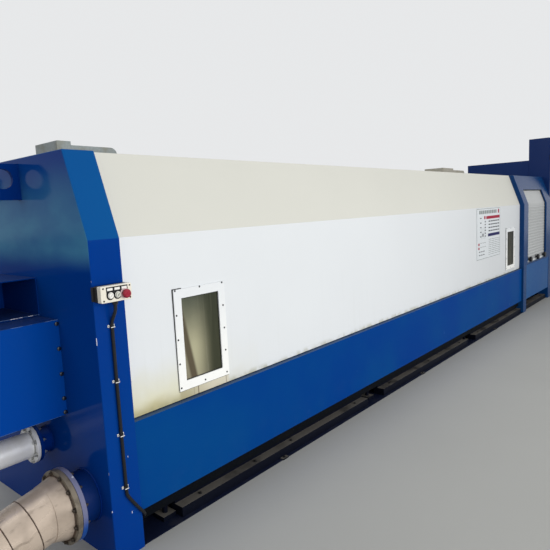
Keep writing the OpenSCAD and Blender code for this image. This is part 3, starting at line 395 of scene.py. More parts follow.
enamel("column_blue", (0.001, 0.033, 0.215), (0.001, 0.041, 0.225), shine=0.06)
# The end column and the end wall carry the painted reflection above their boxes.
enamel("end_column_blue", (0.001, 0.032, 0.212), (0.001, 0.040, 0.222), 0.10, 0.14, 0.0020,
       grime=0.0, painted_sheen=0.70)
# A darker copy of the column blue for the boxes, lugs and welds on the left end: painted shade.
enamel("end_blue", (0.001, 0.018, 0.150), (0.001, 0.026, 0.165), 0.10, 0.05, 0.0025,
       dust=0.08, grime=0.0)
enamel("bright_blue", (0.000, 0.036, 0.300), (0.001, 0.048, 0.275), shine=0.10)
enamel("skirt_blue", (0.001, 0.038, 0.210), (0.002, 0.054, 0.210), 0.24, 0.04, dust=0.38,
       grime=0.02)
enamel("housing_blue", (0.002, 0.033, 0.130), (0.005, 0.043, 0.140), 0.24, 0.4, grime=0.0)
enamel("panel_blue", (0.008, 0.072, 0.230), (0.014, 0.084, 0.230), 0.34, 0.3, 0.0004,
       grime=0.0)
# The exit cabinets' navy is painted shade: a darkened copy of the machine's blue.
enamel("navy", (0.003, 0.017, 0.088), (0.005, 0.022, 0.098), 0.20, 0.4)
enamel("roof_grey", (0.62, 0.63, 0.60), (0.56, 0.57, 0.55), 0.34, 0.4, 0.002, 0.0, 0.3)
enamel("slat_grey", (0.44, 0.45, 0.45), (0.40, 0.41, 0.41), 0.36, 0.4, 0.0, 0.0, 0.3)
print("enamels made:", len(finishes))

# %% [markdown]
# The hood is satin off-white. Emulsion weeps out at its lower left corner and has left a
# yellow stain: a product of two fades, broken up with noise. Faint grey streaks run down the
# front, and a beige strip with brown runs lies under the first window.
# %% Satin white for the hood
def satin_white(name, colour, far):
    """Off-white satin paint with an emulsion stain, faint runs and painted shade towards the
    right.
    """
    paint = Finish(name)
    across, height = paint.axis("X"), paint.axis("Z")
    tone = paint.over(colour, paint.patches(0.8, 4, 0.3, 0.8), 0.5, darker(colour, 0.93))
    # Painted shade: the paint grows darker towards the machine's right end.
    tone = paint.over(tone, paint.fade(across, -2.6, 2.0), 0.6, darker(colour, far))
    runs = paint.times(paint.patches(9, 4, 0.52, 0.85, (3, 1, 0.12)),
                       paint.fade(height, 1.35, 0.65))
    tone = paint.over(tone, runs, 0.16, (0.45, 0.46, 0.44))
    low = paint.fade(paint.times(paint.noise(6, 5), 0.16, height), 0.98, 0.66)
    left = paint.fade(paint.times(paint.noise(3, 3), 0.6, across), -2.7, -3.6)
    stain = paint.times(low, left)
    tone = paint.over(tone, stain, 0.75, (0.62, 0.58, 0.32))
    crust = paint.fade(paint.times(paint.noise(8, 5), 0.06, height), 0.72, 0.645)
    tone = paint.over(tone, paint.times(stain, crust), 0.75, (0.38, 0.33, 0.16))
    edge = paint.times(paint.fade(height, 0.65, 0.612), paint.patches(16, 5, 0.35, 0.65))
    tone = paint.over(tone, edge, 0.55, (0.32, 0.31, 0.18))
    below = paint.times(paint.fade(height, 0.664, 0.656),
                        paint.fade(paint.beside(across, -3.455), 0.185, 0.165))
    beige = paint.mix(paint.fade(across, -3.62, -3.38), (0.38, 0.34, 0.20), (0.60, 0.55, 0.42))
    tone = paint.over(tone, below, 0.8, beige)
    for run_x, depth in ((-3.505, 0.8), (-3.300, 0.5), (-3.535, 0.25)):
        run = paint.times(paint.fade(paint.beside(across, run_x), 0.0045, 0.0015), below)
        tone = paint.over(tone, run, depth, (0.10, 0.06, 0.04))
    paint.set(Base_Color=tone, Specular_IOR_Level=0.22)
    paint.set(Roughness=paint.times(paint.noise(11, 4), 0.14, 0.38))
    paint.skin(360, 1.7, 0.0006)


satin_white("hood_white", (0.690, 0.712, 0.728), 0.76)
# The slope panel takes a darker, yellower copy of the hood paint: painted shade against the
# stronger light from above.
satin_white("slope_white", (0.610, 0.606, 0.550), 0.86)

# %% [markdown]
# A rolled stainless tube has fine lines round it, a ground drum has rings, and a casting is
# pitted. Noise that is squeezed along one axis turns its grains into lines.
# %% Bare metals
def lined_metal(name, colour, dull, stretch, gloss, stains=0.5, metal=0.92):
    """Steel with fine lines across the stretched axis, and dull patches."""
    steel = Finish(name)
    lines = steel.noise(260, 2, stretch)
    patch = steel.patches(11, 5, 0.45, 0.75)
    tone = steel.mix(lines, darker(colour, 0.86), colour)
    steel.set(Base_Color=steel.over(tone, patch, stains, dull), Metallic=metal)
    steel.set(Roughness=steel.times(patch, 0.22, steel.times(lines, 0.14, gloss - 0.05)))
    steel.set(Normal=steel.relief(lines, 0.00004))


def rough_metal(name, colour, rust, gloss, metal, shine=0.35):
    """Bare or black steel with scale, dirt and a little rust."""
    steel = Finish(name)
    grain = steel.noise(90, 6)
    patch = steel.patches(13, 6, 0.5, 0.72)
    tone = steel.mix(grain, darker(colour, 0.7), darker(colour, 1.25))
    steel.set(Base_Color=steel.over(tone, patch, 0.6, rust), Metallic=metal)
    steel.set(Specular_IOR_Level=shine, Roughness=steel.times(patch, 0.25, gloss))
    steel.set(Normal=steel.relief(grain, 0.0003))


lined_metal("stainless", (0.93, 0.94, 0.97), (0.50, 0.48, 0.42), (0.04, 1, 1), 0.34, 0.35, 0.35)
lined_metal("ground_steel", (0.55, 0.55, 0.54), (0.30, 0.29, 0.27), (1, 0.05, 1), 0.22)
lined_metal("zinc", (0.60, 0.60, 0.58), (0.28, 0.26, 0.22), (1, 1, 1), 0.32, 0.35)
rough_metal("dark_bolt", (0.045, 0.045, 0.05), (0.10, 0.08, 0.06), 0.4, 0.8)
rough_metal("blued_steel", (0.10, 0.11, 0.13), (0.05, 0.05, 0.06), 0.22, 0.95)
rough_metal("bolt_brown", (0.075, 0.062, 0.05), (0.14, 0.09, 0.06), 0.4, 0.7)
rough_metal("seam_brown", (0.085, 0.060, 0.045), (0.16, 0.10, 0.07), 0.5, 0.2)
rough_metal("die_iron", (0.16, 0.16, 0.17), (0.13, 0.10, 0.08), 0.42, 0.85)
rough_metal("black_paint", (0.003, 0.004, 0.006), (0.008, 0.008, 0.008), 0.6, 0.0, 0.06)
rough_metal("chamber_grey", (0.26, 0.28, 0.29), (0.20, 0.19, 0.16), 0.40, 0.0)
rough_metal("cover_beige", (0.27, 0.30, 0.30), (0.24, 0.23, 0.18), 0.5, 0.0)
rough_metal("cover_brown", (0.33, 0.31, 0.26), (0.26, 0.23, 0.17), 0.5, 0.0)
# A near-black finish for the floor strip, which is a painted shadow.
rough_metal("shadow_strip_blue", (0.006, 0.009, 0.026), (0.020, 0.022, 0.034), 0.5, 0.0, 0.10)
print("with the white paints and the metals:", len(finishes))

# %% [markdown]
# Rubber, cable sheath and moulded plastic have one colour, a soft sheen and a fine grain.
# %% Plastics and rubber
def moulded(name, colour, gloss, dirt=0.12):
    """Moulded plastic or rubber with a fine grain and handling dirt."""
    plastic = Finish(name)
    grime = plastic.patches(38, 5, 0.45, 0.8)
    plastic.set(Base_Color=plastic.over(colour, grime, dirt, darker(colour, 0.55)))
    plastic.set(Roughness=plastic.times(grime, 0.2, gloss), Specular_IOR_Level=0.4)
    plastic.set(Normal=plastic.relief(plastic.noise(900, 1), 0.00005, 0.4))


moulded("box_grey", (0.74, 0.70, 0.60), 0.42, 0.3)
moulded("black_plastic", (0.012, 0.012, 0.014), 0.45)
moulded("gloss_black", (0.008, 0.008, 0.010), 0.18)
moulded("white_plastic", (0.78, 0.77, 0.73), 0.3)
moulded("grey_button", (0.56, 0.56, 0.50), 0.28)
moulded("red_plastic", (0.27, 0.012, 0.030), 0.26)
moulded("pale_pink", (0.72, 0.55, 0.56), 0.3)
moulded("cap_mark", (0.45, 0.44, 0.42), 0.3)
moulded("rubber", (0.020, 0.022, 0.020), 0.6)
moulded("plate_white", (0.64, 0.67, 0.69), 0.3, 0.2)
moulded("print_grey", (0.20, 0.225, 0.22), 0.6)
moulded("print_ink", (0.035, 0.04, 0.05), 0.6)
moulded("print_red", (0.30, 0.008, 0.035), 0.6)
moulded("print_navy", (0.004, 0.004, 0.070), 0.6)
moulded("sheath", (0.010, 0.011, 0.013), 0.34)

# %% [markdown]
# The window frames and the shutter's rail are brighter below a certain height. On an edge
# line, noise with a hard threshold decides where the line is pale; such lines serve for worn
# paint and for painted highlights. The soles carry a thick grey layer of dust wherever they
# face up.
# %% Finishes in two tones
def two_tone(name, low_colour, high_colour, split, blend=0.001, dirty=0.35):
    """Satin paint of one colour below a height and another above it, a little dirty."""
    paint = Finish(name)
    above = paint.fade(paint.axis("Z"), split - blend, split + blend)
    dirt = paint.patches(18, 5, 0.5, 0.8)
    tone = paint.over(paint.mix(above, low_colour, high_colour), dirt, dirty, (0.20, 0.20, 0.19))
    paint.set(Base_Color=tone, Specular_IOR_Level=0.4, Roughness=paint.times(dirt, 0.2, 0.3))
    paint.set(Normal=paint.relief(paint.noise(300, 1), 0.00003))


def two_colour_line(name, colour, pale_tone, share):
    """Two colours in patches along a thin line, for worn paint and for painted highlights."""
    coat = Finish(name)
    patch = coat.patches(17, 5, share + 0.04, share - 0.04)
    coat.set(Base_Color=coat.mix(patch, pale_tone, colour), Roughness=0.35)
    coat.set(Normal=coat.relief(coat.noise(90, 4), 0.0004), Specular_IOR_Level=0.4)


two_tone("frame_white", (0.86, 0.86, 0.83), (0.71, 0.73, 0.745), 0.95, 0.30, 0.06)
two_tone("rail_white", (0.66, 0.68, 0.68), (0.36, 0.37, 0.38), 0.686)
# The first is a painted highlight for edges; the second serves worn chips and painted glints.
two_colour_line("edge_highlight", (0.004, 0.040, 0.190), (0.10, 0.17, 0.34), 0.50)
two_colour_line("bare_scrape", (0.10, 0.12, 0.22), (0.62, 0.62, 0.72), 0.44)

iron = Finish("sole_iron")
iron_black = (0.003, 0.004, 0.009)
grain = iron.noise(60, 6)
lying = iron.times(iron.facing("Z", 0.55, 0.95), iron.patches(5, 6, 0.24, 0.56))
tone = iron.mix(grain, darker(iron_black, 0.7), darker(iron_black, 1.3))
iron.set(Base_Color=iron.mix(lying, tone, (0.125, 0.116, 0.104)), Specular_IOR_Level=0.08)
iron.set(Roughness=iron.times(lying, 0.35, 0.5), Normal=iron.relief(grain, 0.0005, 0.6))

# %% [markdown]
# The return pipe wears a beige primer with grey scuffs, up to a grey-brown flange. The flange
# that it meets is rubbed to violet-grey at its top and still blue below, and its nozzle is
# dark blue.
# %% Finishes for the return pipe
flange_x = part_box("return_pipe")[1].x - 0.024
coat = Finish("pipe_primer")
patch = coat.patches(5.5, 6, 0.40, 0.66)
tone = coat.mix(patch, (0.56, 0.46, 0.37), (0.34, 0.275, 0.22))
tone = coat.over(tone, coat.patches(30, 5, 0.60, 0.72, (0.3, 1, 1)), 0.5, (0.18, 0.14, 0.11))
steel = coat.mix(coat.patches(24, 5, 0.4, 0.7), (0.20, 0.17, 0.13), (0.12, 0.10, 0.075))
tone = coat.mix(coat.fade(coat.axis("X"), flange_x - 0.004, flange_x), tone, steel)
coat.set(Base_Color=tone, Metallic=0.25, Specular_IOR_Level=0.5)
coat.set(Roughness=coat.times(patch, 0.15, 0.26))
coat.set(Normal=coat.relief(coat.noise(26, 5), 0.0006, 0.6))

nozzle_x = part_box("return_nozzle")[0].x + 0.0225
coat = Finish("flange_blue")
worn = coat.fade(coat.times(coat.noise(9, 5), 0.10, coat.axis("Z")), 0.24, 0.34)
tone = coat.mix(worn, (0.004, 0.055, 0.260), (0.150, 0.155, 0.250))
tone = coat.mix(coat.specks(38, 0.0055, 0.35), tone, (0.45, 0.48, 0.55))
nozzle = coat.fade(coat.axis("X"), nozzle_x, nozzle_x + 0.002)
coat.set(Base_Color=coat.mix(nozzle, tone, (0.001, 0.016, 0.100)), Specular_IOR_Level=0.25)
coat.set(Roughness=0.38, Normal=coat.relief(coat.noise(70, 4), 0.0004))

# %% [markdown]
# The panes are polycarbonate that emulsion has turned olive: paler at the foot, nearly black
# at the top and on the right. A dark diagonal shadow crosses each one, and the far pane is
# darker as a whole.
# %% A finish for the clouded panes
pane = Finish("pane_olive")
across, height = pane.axis("X"), pane.axis("Z")
foot = pane.fade(pane.times(pane.noise(5, 3), 0.12, height), 1.22, 0.88)
tone = pane.mix(foot, (0.075, 0.083, 0.060), (0.41, 0.39, 0.255))
tone = pane.over(tone, pane.fade(height, 0.90, 0.68), 0.35, (0.22, 0.205, 0.14))
slant = pane.times(height, 0.20, across)
tone = pane.over(tone, pane.fade(slant, -3.385, -3.425), 0.6, (0.135, 0.112, 0.085))
for lean_x in (-3.385, 1.70):
    shade = pane.fade(pane.beside(slant, lean_x), 0.034, 0.012)
    tone = pane.over(tone, shade, 0.88, (0.058, 0.040, 0.024))
for right_x in (-3.33, 1.958):
    near = pane.math("SUBTRACT", across, right_x)
    inside = pane.times(pane.fade(near, -0.19, -0.045), pane.fade(near, 0.2, 0.05))
    tone = pane.over(tone, inside, 0.95, (0.022, 0.026, 0.014))
tone = pane.over(tone, pane.fade(across, 1.4, 1.6), 0.95, (0.010, 0.010, 0.007))
runs = pane.patches(14, 3, 0.5, 0.8, (2, 1, 0.1))
tone = pane.over(tone, runs, 0.15, (0.34, 0.33, 0.24))
pane.set(Base_Color=tone, Specular_IOR_Level=0.2, Roughness=pane.times(runs, 0.25, 0.14))
pane.set(Normal=pane.relief(pane.noise(6, 2), 0.0006))
print("finishes made:", len(finishes))

# %% [markdown]
# Most of the machine only needs rounded edges and its finish. `dress` copies a solid, merges
# its loose triangles into plain faces and bevels what is left. The end column and the end
# wall lie flush, so their shared edges and the edges on the floor stay sharp.
# %% Dress the sheets and castings
def bevel(piece, offset, segments, **where):
    """Bevels some edges of a piece."""
    with editing(piece, **where):
        bpy.ops.mesh.bevel(offset=offset, segments=segments, affect="EDGES")
    return piece


THIN, EDGE = 0.0008, 0.0020
DRESSED = [
    ("skirt_blue", "front_skirt rear_skirt", 0.0015),
    ("hood_white", "hood_front_panel hood_end_left hood_end_right", THIN),
    ("slope_white", "hood_slope_panel hood_top_panel", THIN),
    ("frame_white", "window_frames", 0.0012), ("pane_olive", "window_panes", 0.0005),
    ("roof_grey", "roof_panel", EDGE), ("column_blue", "gear_case gear_case_covers", 0.003),
    ("housing_blue", "take_up_housing", 0.004), ("panel_blue", "housing_front_panel", 0.0012),
    ("navy", "exit_cabinet_front exit_cabinet_rear", 0.004),
    ("end_blue", "die_box lifting_lugs", 0.003), ("end_blue", "entry_box supply_nozzle", EDGE),
    ("bright_blue", "die_box_cover", 0.0012), ("flange_blue", "return_nozzle", EDGE),
    ("stainless", "supply_pipe", 0.0012), ("pipe_primer", "return_pipe", 0.0015),
    ("cover_beige", "lift_cover_left", EDGE), ("cover_brown", "lift_cover_right", EDGE),
    ("sole_iron", "sole_plates levelling_feet", EDGE), ("black_paint", "bed_frame", 0.004),
    ("chamber_grey", "chamber_floor chamber_back_wall", EDGE),
    ("ground_steel", "capstans_upper capstans_lower", EDGE), ("die_iron", "die_holders", EDGE),
    ("black_paint", "hinge_brackets hood_hinge_arms", 0.0015), ("zinc", "hinge_pins", 0.0015),
    ("black_paint", "hood_lifting_eyes", THIN), ("slat_grey", "shutter_curtain", THIN),
    ("rail_white", "shutter_rail", EDGE), ("gloss_black", "shutter_knobs", 0.0015),
    # The control box body is black; at its side this stands partly for the spacer, partly for
    # painted shade.
    ("black_plastic", "control_box_spacer", 0.0015), ("black_plastic", "control_box", 0.0022, 3),
    ("white_plastic", "start_button", 0.0012), ("grey_button", "jog_button", 0.0012),
    ("red_plastic", "stop_button", 0.0016, 3),
]
dressed = [dress(node, finish, *rounding) for finish, nodes, *rounding in DRESSED
           for node in nodes.split()]
joint_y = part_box("left_end_wall")[0].y
for node in ("left_end_column", "left_end_wall"):
    piece = bevel(dress(node, "end_column_blue", 0), 0.004, 3, edges=lambda a, b:
                  abs(a.y - joint_y) + abs(b.y - joint_y) > 0.001 and a.z + b.z > 0.001)
    dressed.append(even_shading(piece))
print("dressed:", len(dressed), "with", sum(len(p.data.polygons) for p in dressed), "faces")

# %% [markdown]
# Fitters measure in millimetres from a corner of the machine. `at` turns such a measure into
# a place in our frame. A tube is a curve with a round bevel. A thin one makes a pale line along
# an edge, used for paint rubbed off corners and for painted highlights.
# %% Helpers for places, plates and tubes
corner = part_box("left_end_column")[0]
FRONT, BACK, LEFT = (math.pi / 2, 0, 0), (-math.pi / 2, 0, 0), (0, -math.pi / 2, 0)
UP, DOWN = (0, 0, 0), (math.pi, 0, 0)


def at(x, y, z):
    """A place given in millimetres from the machine's front left corner on the floor."""
    return Vector((corner.x + x / 1000, corner.y + y / 1000, z / 1000))


def plate(low, high, radius, facing="Y"):
    """A flat plate with rounded corners, seen along one axis."""
    axis = "XYZ".index(facing)
    return bevel(block("plate", low, high), radius, 5,
                 edges=lambda a, b: (a - b).normalized()[axis] ** 2 > 0.9)


def smooth_curve(name, points, order, steps):
    """A curve that runs from the first point to the last and bends towards the others."""
    path = bpy.data.curves.new(name, "CURVE")
    path.dimensions = "3D"
    spline = path.splines.new("NURBS")
    spline.points.add(len(points) - 1)
    for knot, place in zip(spline.points, points):
        knot.co = (*place, 1)
    spline.order_u = order
    spline.use_endpoint_u = True
    spline.resolution_u = steps
    piece = bpy.data.objects.new(name, path)
    bpy.context.collection.objects.link(piece)
    return piece


def tube(name, start, end, radius, steps):
    """A straight tube, divided into steps."""
    piece = smooth_curve(name, [start.lerp(end, i / steps) for i in range(steps + 1)], 4, 6)
    piece.data.bevel_depth = radius
    piece.data.bevel_resolution = 1
    piece.data.use_fill_caps = True
    take(piece)
    bpy.ops.object.convert(target="MESH")
    smooth(50)
    return bpy.context.object


def edge_line(name, start, end, finish, radius):
    """A thin pale line along a straight edge, for worn paint and for painted highlights."""
    hand_over(tube(name, start, end, radius, 12), finish)


# %% [markdown]
# A fastener is modelled once, standing up at the origin. A hexagon head is a cylinder with
# six sides, whose top is inset and lifted a little into a crown. `many` puts a copy at each
# spot, turned to face the right way, and joins the copies into one piece.
# %% Fasteners
def hex_bolt(across, height):
    """A hexagon head with a raised crown, on a washer."""
    sheet = 0.12 * across
    middle = (0, 0, sheet + height / 2)
    head = round_bar("head", middle, across / math.sqrt(3), height, 6)
    with editing(head, faces=lambda centre, normal: normal.z > 0.9):
        bpy.ops.mesh.inset(thickness=0.10 * across, depth=0.05 * across)
    washer = round_bar("washer", (0, 0, sheet / 2), across * 0.95, sheet, 20)
    return join("hex_bolt", [head, washer])


def flange_bolt(across, grip):
    """A bolt through a pair of flanges: head and washer in front, nut and thread behind."""
    front = hex_bolt(across, 0.62 * across)
    back = copy_to(front, (0, 0, -grip), DOWN)
    thread = round_bar("thread", (0, 0, -grip / 2 - 0.4 * across), across * 0.30,
                       grip + 1.5 * across, 12)
    return join("flange_bolt", [front, back, thread])


def round_bolt(radius, height, recess=0.0):
    """A domed head, with a recess in its middle if one is asked for."""
    head = round_bar("head", (0, 0, height / 2), radius, height, 18)
    bevel(head, 0.7 * height, 3, faces=lambda centre, normal: normal.z > 0.9)
    if recess:
        with editing(head, faces=lambda centre, normal: normal.z > 0.99):
            bpy.ops.mesh.inset(thickness=0.3 * radius)
            bpy.ops.mesh.inset(thickness=0.08 * radius, depth=-recess)
    return head


def many(name, template, spots, finish, body="root"):
    """Puts a copy of a template at each place and turn, joined into one piece."""
    copies = [copy_to(template, place, turn) for place, turn in spots]
    bpy.data.objects.remove(template)
    piece = join(name, copies)
    smooth(35)
    return hand_over(piece, finish, body)


# %% [markdown]
# The die box sticks out of the left end. Domed bolts hold its cover along both upright
# edges, and pale painted highlights run along its upper and lower edges. The entry box above
# it is open at the front: its lower lip carries a painted highlight line and a few white
# painted glints.
# %% Bolt the die box
cover_low, cover_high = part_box("die_box_cover")
entry_low, entry_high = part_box("entry_box")
bolt_inset = 0.010
bolt_heights = (1.079, 0.960, 0.838, 0.718, 0.650)
many("die_box_bolts", round_bolt(0.0105, 0.0075),
     [((x, cover_low.y, z), FRONT) for x in (cover_low.x + bolt_inset, cover_high.x - bolt_inset)
      for z in bolt_heights], "blued_steel")
# Painted highlights along the cover's upper and lower edges.
for name, z, radius in (("die_box_top_highlight", cover_high.z, 0.0012),
                        ("die_box_lower_highlight", cover_low.z, 0.0009)):
    edge_line(name, Vector((cover_low.x + 0.004, cover_low.y + 0.001, z)),
         Vector((cover_high.x - 0.002, cover_low.y + 0.001, z)), "edge_highlight",
         radius)
# Painted glints and a painted highlight line along the entry box's lower lip.
glint_spans = [(at(low, 0, 0).x, at(high, 0, 0).x) for low, high in
           ((-143, -86), (-58, -36), (-250, -236))]
lip = [("entry_lip_highlight", entry_low.x + 0.040, cover_high.x - 0.002, "edge_highlight", 0.0012)]
lip += [("entry_scrape_%d" % (i + 1), *ends, "bare_scrape", 0.0019)
        for i, ends in enumerate(glint_spans)]
for name, start_x, end_x, finish, radius in lip:
    start, end = [Vector((x, entry_low.y - 0.0005, entry_low.z + 0.008)) for x in (start_x, end_x)]
    edge_line(name, start, end, finish, radius)
print("die box bolts:", 2 * len(bolt_heights))

# %% [markdown]
# Two pipes end in bolted flanges at the left end: coolant comes in through the stainless one
# and goes back through the wide one below. Each bolt passes both flanges and carries a nut
# on the far side.
# %% Bolt up the two pipes
def circle_spots(x, y, z, radius, count):
    """Spots round a circle that stands across the machine, halfway between the axes."""
    turns = [(i + 0.5) * math.tau / count for i in range(count)]
    return [(at(x, y + radius * math.cos(a), z + radius * math.sin(a)), LEFT) for a in turns]


SUPPLY, RETURN = (560, 455), (205, 268)
many("supply_bolts", flange_bolt(0.015, 0.034), circle_spots(-94, *SUPPLY, 80, 8), "zinc")
many("return_bolts", flange_bolt(0.014, 0.046), circle_spots(-142, *RETURN, 155, 12),
     "bolt_brown")

# %% [markdown]
# The return pipe was rolled from sheet and welded, so seams run round it. A torus makes the
# bead, and moving its points at random, with a fixed seed, gives it the ripple of a hand
# weld. The pipe falls towards its end, and its seams lean with it. The lifting lugs have a
# fillet weld down both sides of each plate.
# %% Weld the seams and the lifting lugs
def rippled(piece, offset, seed, finish):
    """Ripples a bead at random and hands it over."""
    with editing(piece):
        bpy.ops.transform.vertex_random(offset=offset, seed=seed)
    bpy.ops.object.shade_smooth()
    hand_over(piece, finish)


FALL, RUN = 62, 272
lean = math.atan(FALL / RUN)
welds = [("return_seam_%d" % (i + 1), x, RETURN[0], RETURN[1] + (x + 212) * FALL / RUN, 0.1218,
          0.0026, "seam_brown", "pipe_paint", -lean) for i, x in enumerate((-285, -392))]
welds += [("return_flange_weld", -143, *RETURN, 0.1475, 0.0040, "seam_brown", "pipe_paint", 0),
          ("return_nozzle_weld", -3, *RETURN, 0.124, 0.0045, "end_blue", "deep_blue_paint", 0),
          ("supply_flange_weld", -96, *SUPPLY, 0.0655, 0.0028, "zinc", "stainless", 0),
          ("supply_nozzle_weld", -3, *SUPPLY, 0.0665, 0.0035, "end_blue", "deep_blue_paint", 0)]
for name, x, y, z, radius, bead, finish, slot, tip in welds:
    bpy.ops.mesh.primitive_torus_add(
        major_segments=96, minor_segments=8, major_radius=radius, minor_radius=bead,
        location=at(x, y, z), rotation=(0, math.pi / 2 + tip, 0))
    rippled(settle(name), bead * 0.25, 7, finish)

lug_low, lug_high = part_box("lifting_lugs")
lug_t = 0.025
beads = [tube("bead", Vector((corner.x - 0.002, y, lug_low.z)),
              Vector((corner.x - 0.002, y, lug_high.z)), 0.0045, 24)
         for y in (lug_low.y, lug_low.y + lug_t, lug_high.y - lug_t, lug_high.y)]
rippled(join("lug_welds", beads), 0.0011, 3, "end_blue")
print("welds made:", len(welds) + len(beads))

# %% [markdown]
# A control box hangs on the column. Its base is black, which at its side stands partly for the
# black spacer and partly for painted shade, and a deep cream lid with a screw in each corner
# covers its front half. Each control sits in a black legend holder with a blank white plate: a
# block whose two lower corners are beveled by half its width becomes the rounded foot. The two
# push buttons have white rings and the stop is a red mushroom.
# %% Build up the control box
lid_y, box_mid_z = -65.4, 1232
button_xs = (44, 79, 114)
lid = plate(at(0.4, lid_y, 1202.4), at(151.6, -38, 1273.6), 0.0052)
hand_over(round_edges(join("control_box_lid", [lid]), 0.0014, 3), "box_grey")
many("control_box_screws", round_bolt(0.0040, 0.0014, 0.0010),
     [(at(x, lid_y, z), FRONT) for x in (13, 142) for z in (1211, 1264)], "dark_bolt")

holders, blanks = [], []
for x in button_xs:
    holder = block("holder", at(x - 17.4, lid_y - 1.0, 1212), at(x + 17.4, lid_y + 0.3, 1268))
    bevel(holder, 0.0168, 8, edges=lambda a, b: abs(a.y - b.y) > 0.0005 and a.z < 1.220)
    holders.append(round_edges(holder, 0.0003))
    blanks.append(plate(at(x - 13, lid_y - 1.6, 1252.5), at(x + 13, lid_y - 0.6, 1263), 0.0015))
hand_over(join("legend_holders", holders), "black_plastic")
fitted("legend_plates", blanks, 0.0002, "white_plastic")


def flat_ring(centre, inner, outer, thickness):
    """A flat ring that faces the front: a circle, extruded outwards and given its thickness."""
    bpy.ops.mesh.primitive_circle_add(vertices=48, radius=inner)
    piece = bpy.context.object
    with editing(piece):
        bpy.ops.mesh.extrude_edges_move()
        bpy.ops.transform.resize(value=(outer / inner,) * 3, center_override=(0, 0, 0))
    modify(piece, "SOLIDIFY", thickness=thickness, offset=0)
    piece.rotation_euler = FRONT
    piece.location = centre
    return settle("ring")


collars = [flat_ring(at(x, -68.6, box_mid_z), 0.0113, 0.0140, 0.0056) for x in button_xs[:2]]
fitted("button_collars", collars, 0.0008, "white_plastic")
stop_collar = flat_ring(at(button_xs[2], -68.2, box_mid_z), 0.0113, 0.0225, 0.0036)
fitted("stop_collar", [stop_collar], 0.0010, "pale_pink")
print("legend holders:", len(holders))

# %% [markdown]
# The push buttons move in their collars, so the slanted mark on each one rides on the
# button's own body. A gland takes the cable in below.
# %% Mark the buttons and fit the gland
for node, x, finish in (("start_button", 44, "cap_mark"), ("jog_button", 79, "gloss_black")):
    mark = block("mark", (-0.0062, -0.0004, -0.0014), (0.0062, 0.0004, 0.0014))
    place = Vector((at(x, 0, 0).x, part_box(node)[0].y - 0.0001, box_mid_z / 1000))
    many(node + "_mark", round_edges(mark, 0.0003), [(place, (0, math.radians(-48), 0))], finish,
         node)
nut = round_bar("nut", at(84, -34, 1198.5), 0.0150, 0.008, 6)
sleeve = round_bar("sleeve", at(84, -34, 1189.5), 0.0120, 0.011)
fitted("cable_gland", [nut, sleeve], 0.0012, "black_plastic")

# %% [markdown]
# From the box a ribbed conduit runs down the column and under the skirt. One rib is made:
# a short open cylinder whose middle is pulled in. An Array repeats it for as long as the
# route is, and a Curve modifier bends the row along it. Saddles with white ears hold it.
# %% Run the conduit
route = [(84, -34, 1185), (84, -34, 1169), (82, -31, 1151), (76, -13, 1115), (74, -9, 1093),
         (74, -9, 312), (80, -9, 290), (139, -9, 199), (157, -9, 177), (165, -5, 159),
         (167, 22, 143), (167, 50, 130), (167, 66, 130)]
guide = smooth_curve("conduit_route", [at(*place) for place in route], 3, 12)
guide.data.use_path = True
pitch = 0.0045
mid = pitch / 2
bpy.ops.mesh.primitive_cylinder_add(vertices=14, radius=0.008, depth=pitch, location=(mid, 0, 0),
                                    end_fill_type="NOTHING", rotation=(0, math.pi / 2, 0))
conduit = settle("ribbed_conduit")
with editing(conduit, edges=lambda a, b: abs(a.x - b.x) > mid):
    bpy.ops.mesh.subdivide(number_cuts=1)
with editing(conduit, edges=lambda a, b: abs(a.x - mid) < 1e-5 and abs(b.x - mid) < 1e-5):
    bpy.ops.transform.resize(value=(1, 0.88, 0.88), center_override=(mid, 0, 0))
modify(conduit, "ARRAY", fit_type="FIT_CURVE", curve=guide, use_merge_vertices=True,
       merge_threshold=0.0001)
modify(conduit, "CURVE", object=guide)
bpy.data.objects.remove(guide)
with editing(conduit):
    bpy.ops.mesh.fill_holes(sides=0)
    bpy.ops.mesh.select_all(action="SELECT")
    bpy.ops.mesh.normals_make_consistent(inside=False)
bpy.ops.object.shade_smooth()
hand_over(conduit, "sheath", "root", ("cable_conduit",))
print("conduit faces:", len(conduit.data.polygons))

ears, straps, spots = [], [], []
for z in (1088, 838, 588, 338):
    ears += [plate(at(x, -3.4, z - 6), at(x + 9, 0, z + 6), 0.002) for x in (57, 82)]
    ears.append(plate(at(64, -19.3, z - 6), at(84, -16, z - 2.5), 0.001))
    straps.append(round_bar("strap", at(74, -9, z + 1.5), 0.0092, 0.009, 28))
    spots += [(at(x, -3.4, z), FRONT) for x in (60.5, 87.5)]
fitted("clip_ears", ears, 0.0006, "white_plastic", "root", ("conduit_clips",))
fitted("clip_straps", straps, 0.0008, "black_plastic")
many("clip_screws", round_bolt(0.0020, 0.0010), spots, "dark_bolt")

# %% [markdown]
# Each window is a sheet frame screwed over a clouded pane. A frame shape comes from a block:
# its front and back are inset by the border and then bridged, which cuts the opening. The
# same helper makes the thin dark strip inside the opening: part rubber gasket, part painted
# shadow along the opening's edge. Dark strips behind the frame's left edge, at its top left
# corner and under its foot are a painted shadow of the gap round the frame.
# %% Fit the windows
def picture_frame(low, high, border):
    """A rectangular ring that faces the front: a block, inset and bridged through."""
    piece = block("frame", low, high)
    with editing(piece, faces=lambda centre, normal: abs(normal.y) > 0.9):
        bpy.ops.mesh.inset(thickness=border)
        bpy.ops.mesh.bridge_edge_loops()
    return piece


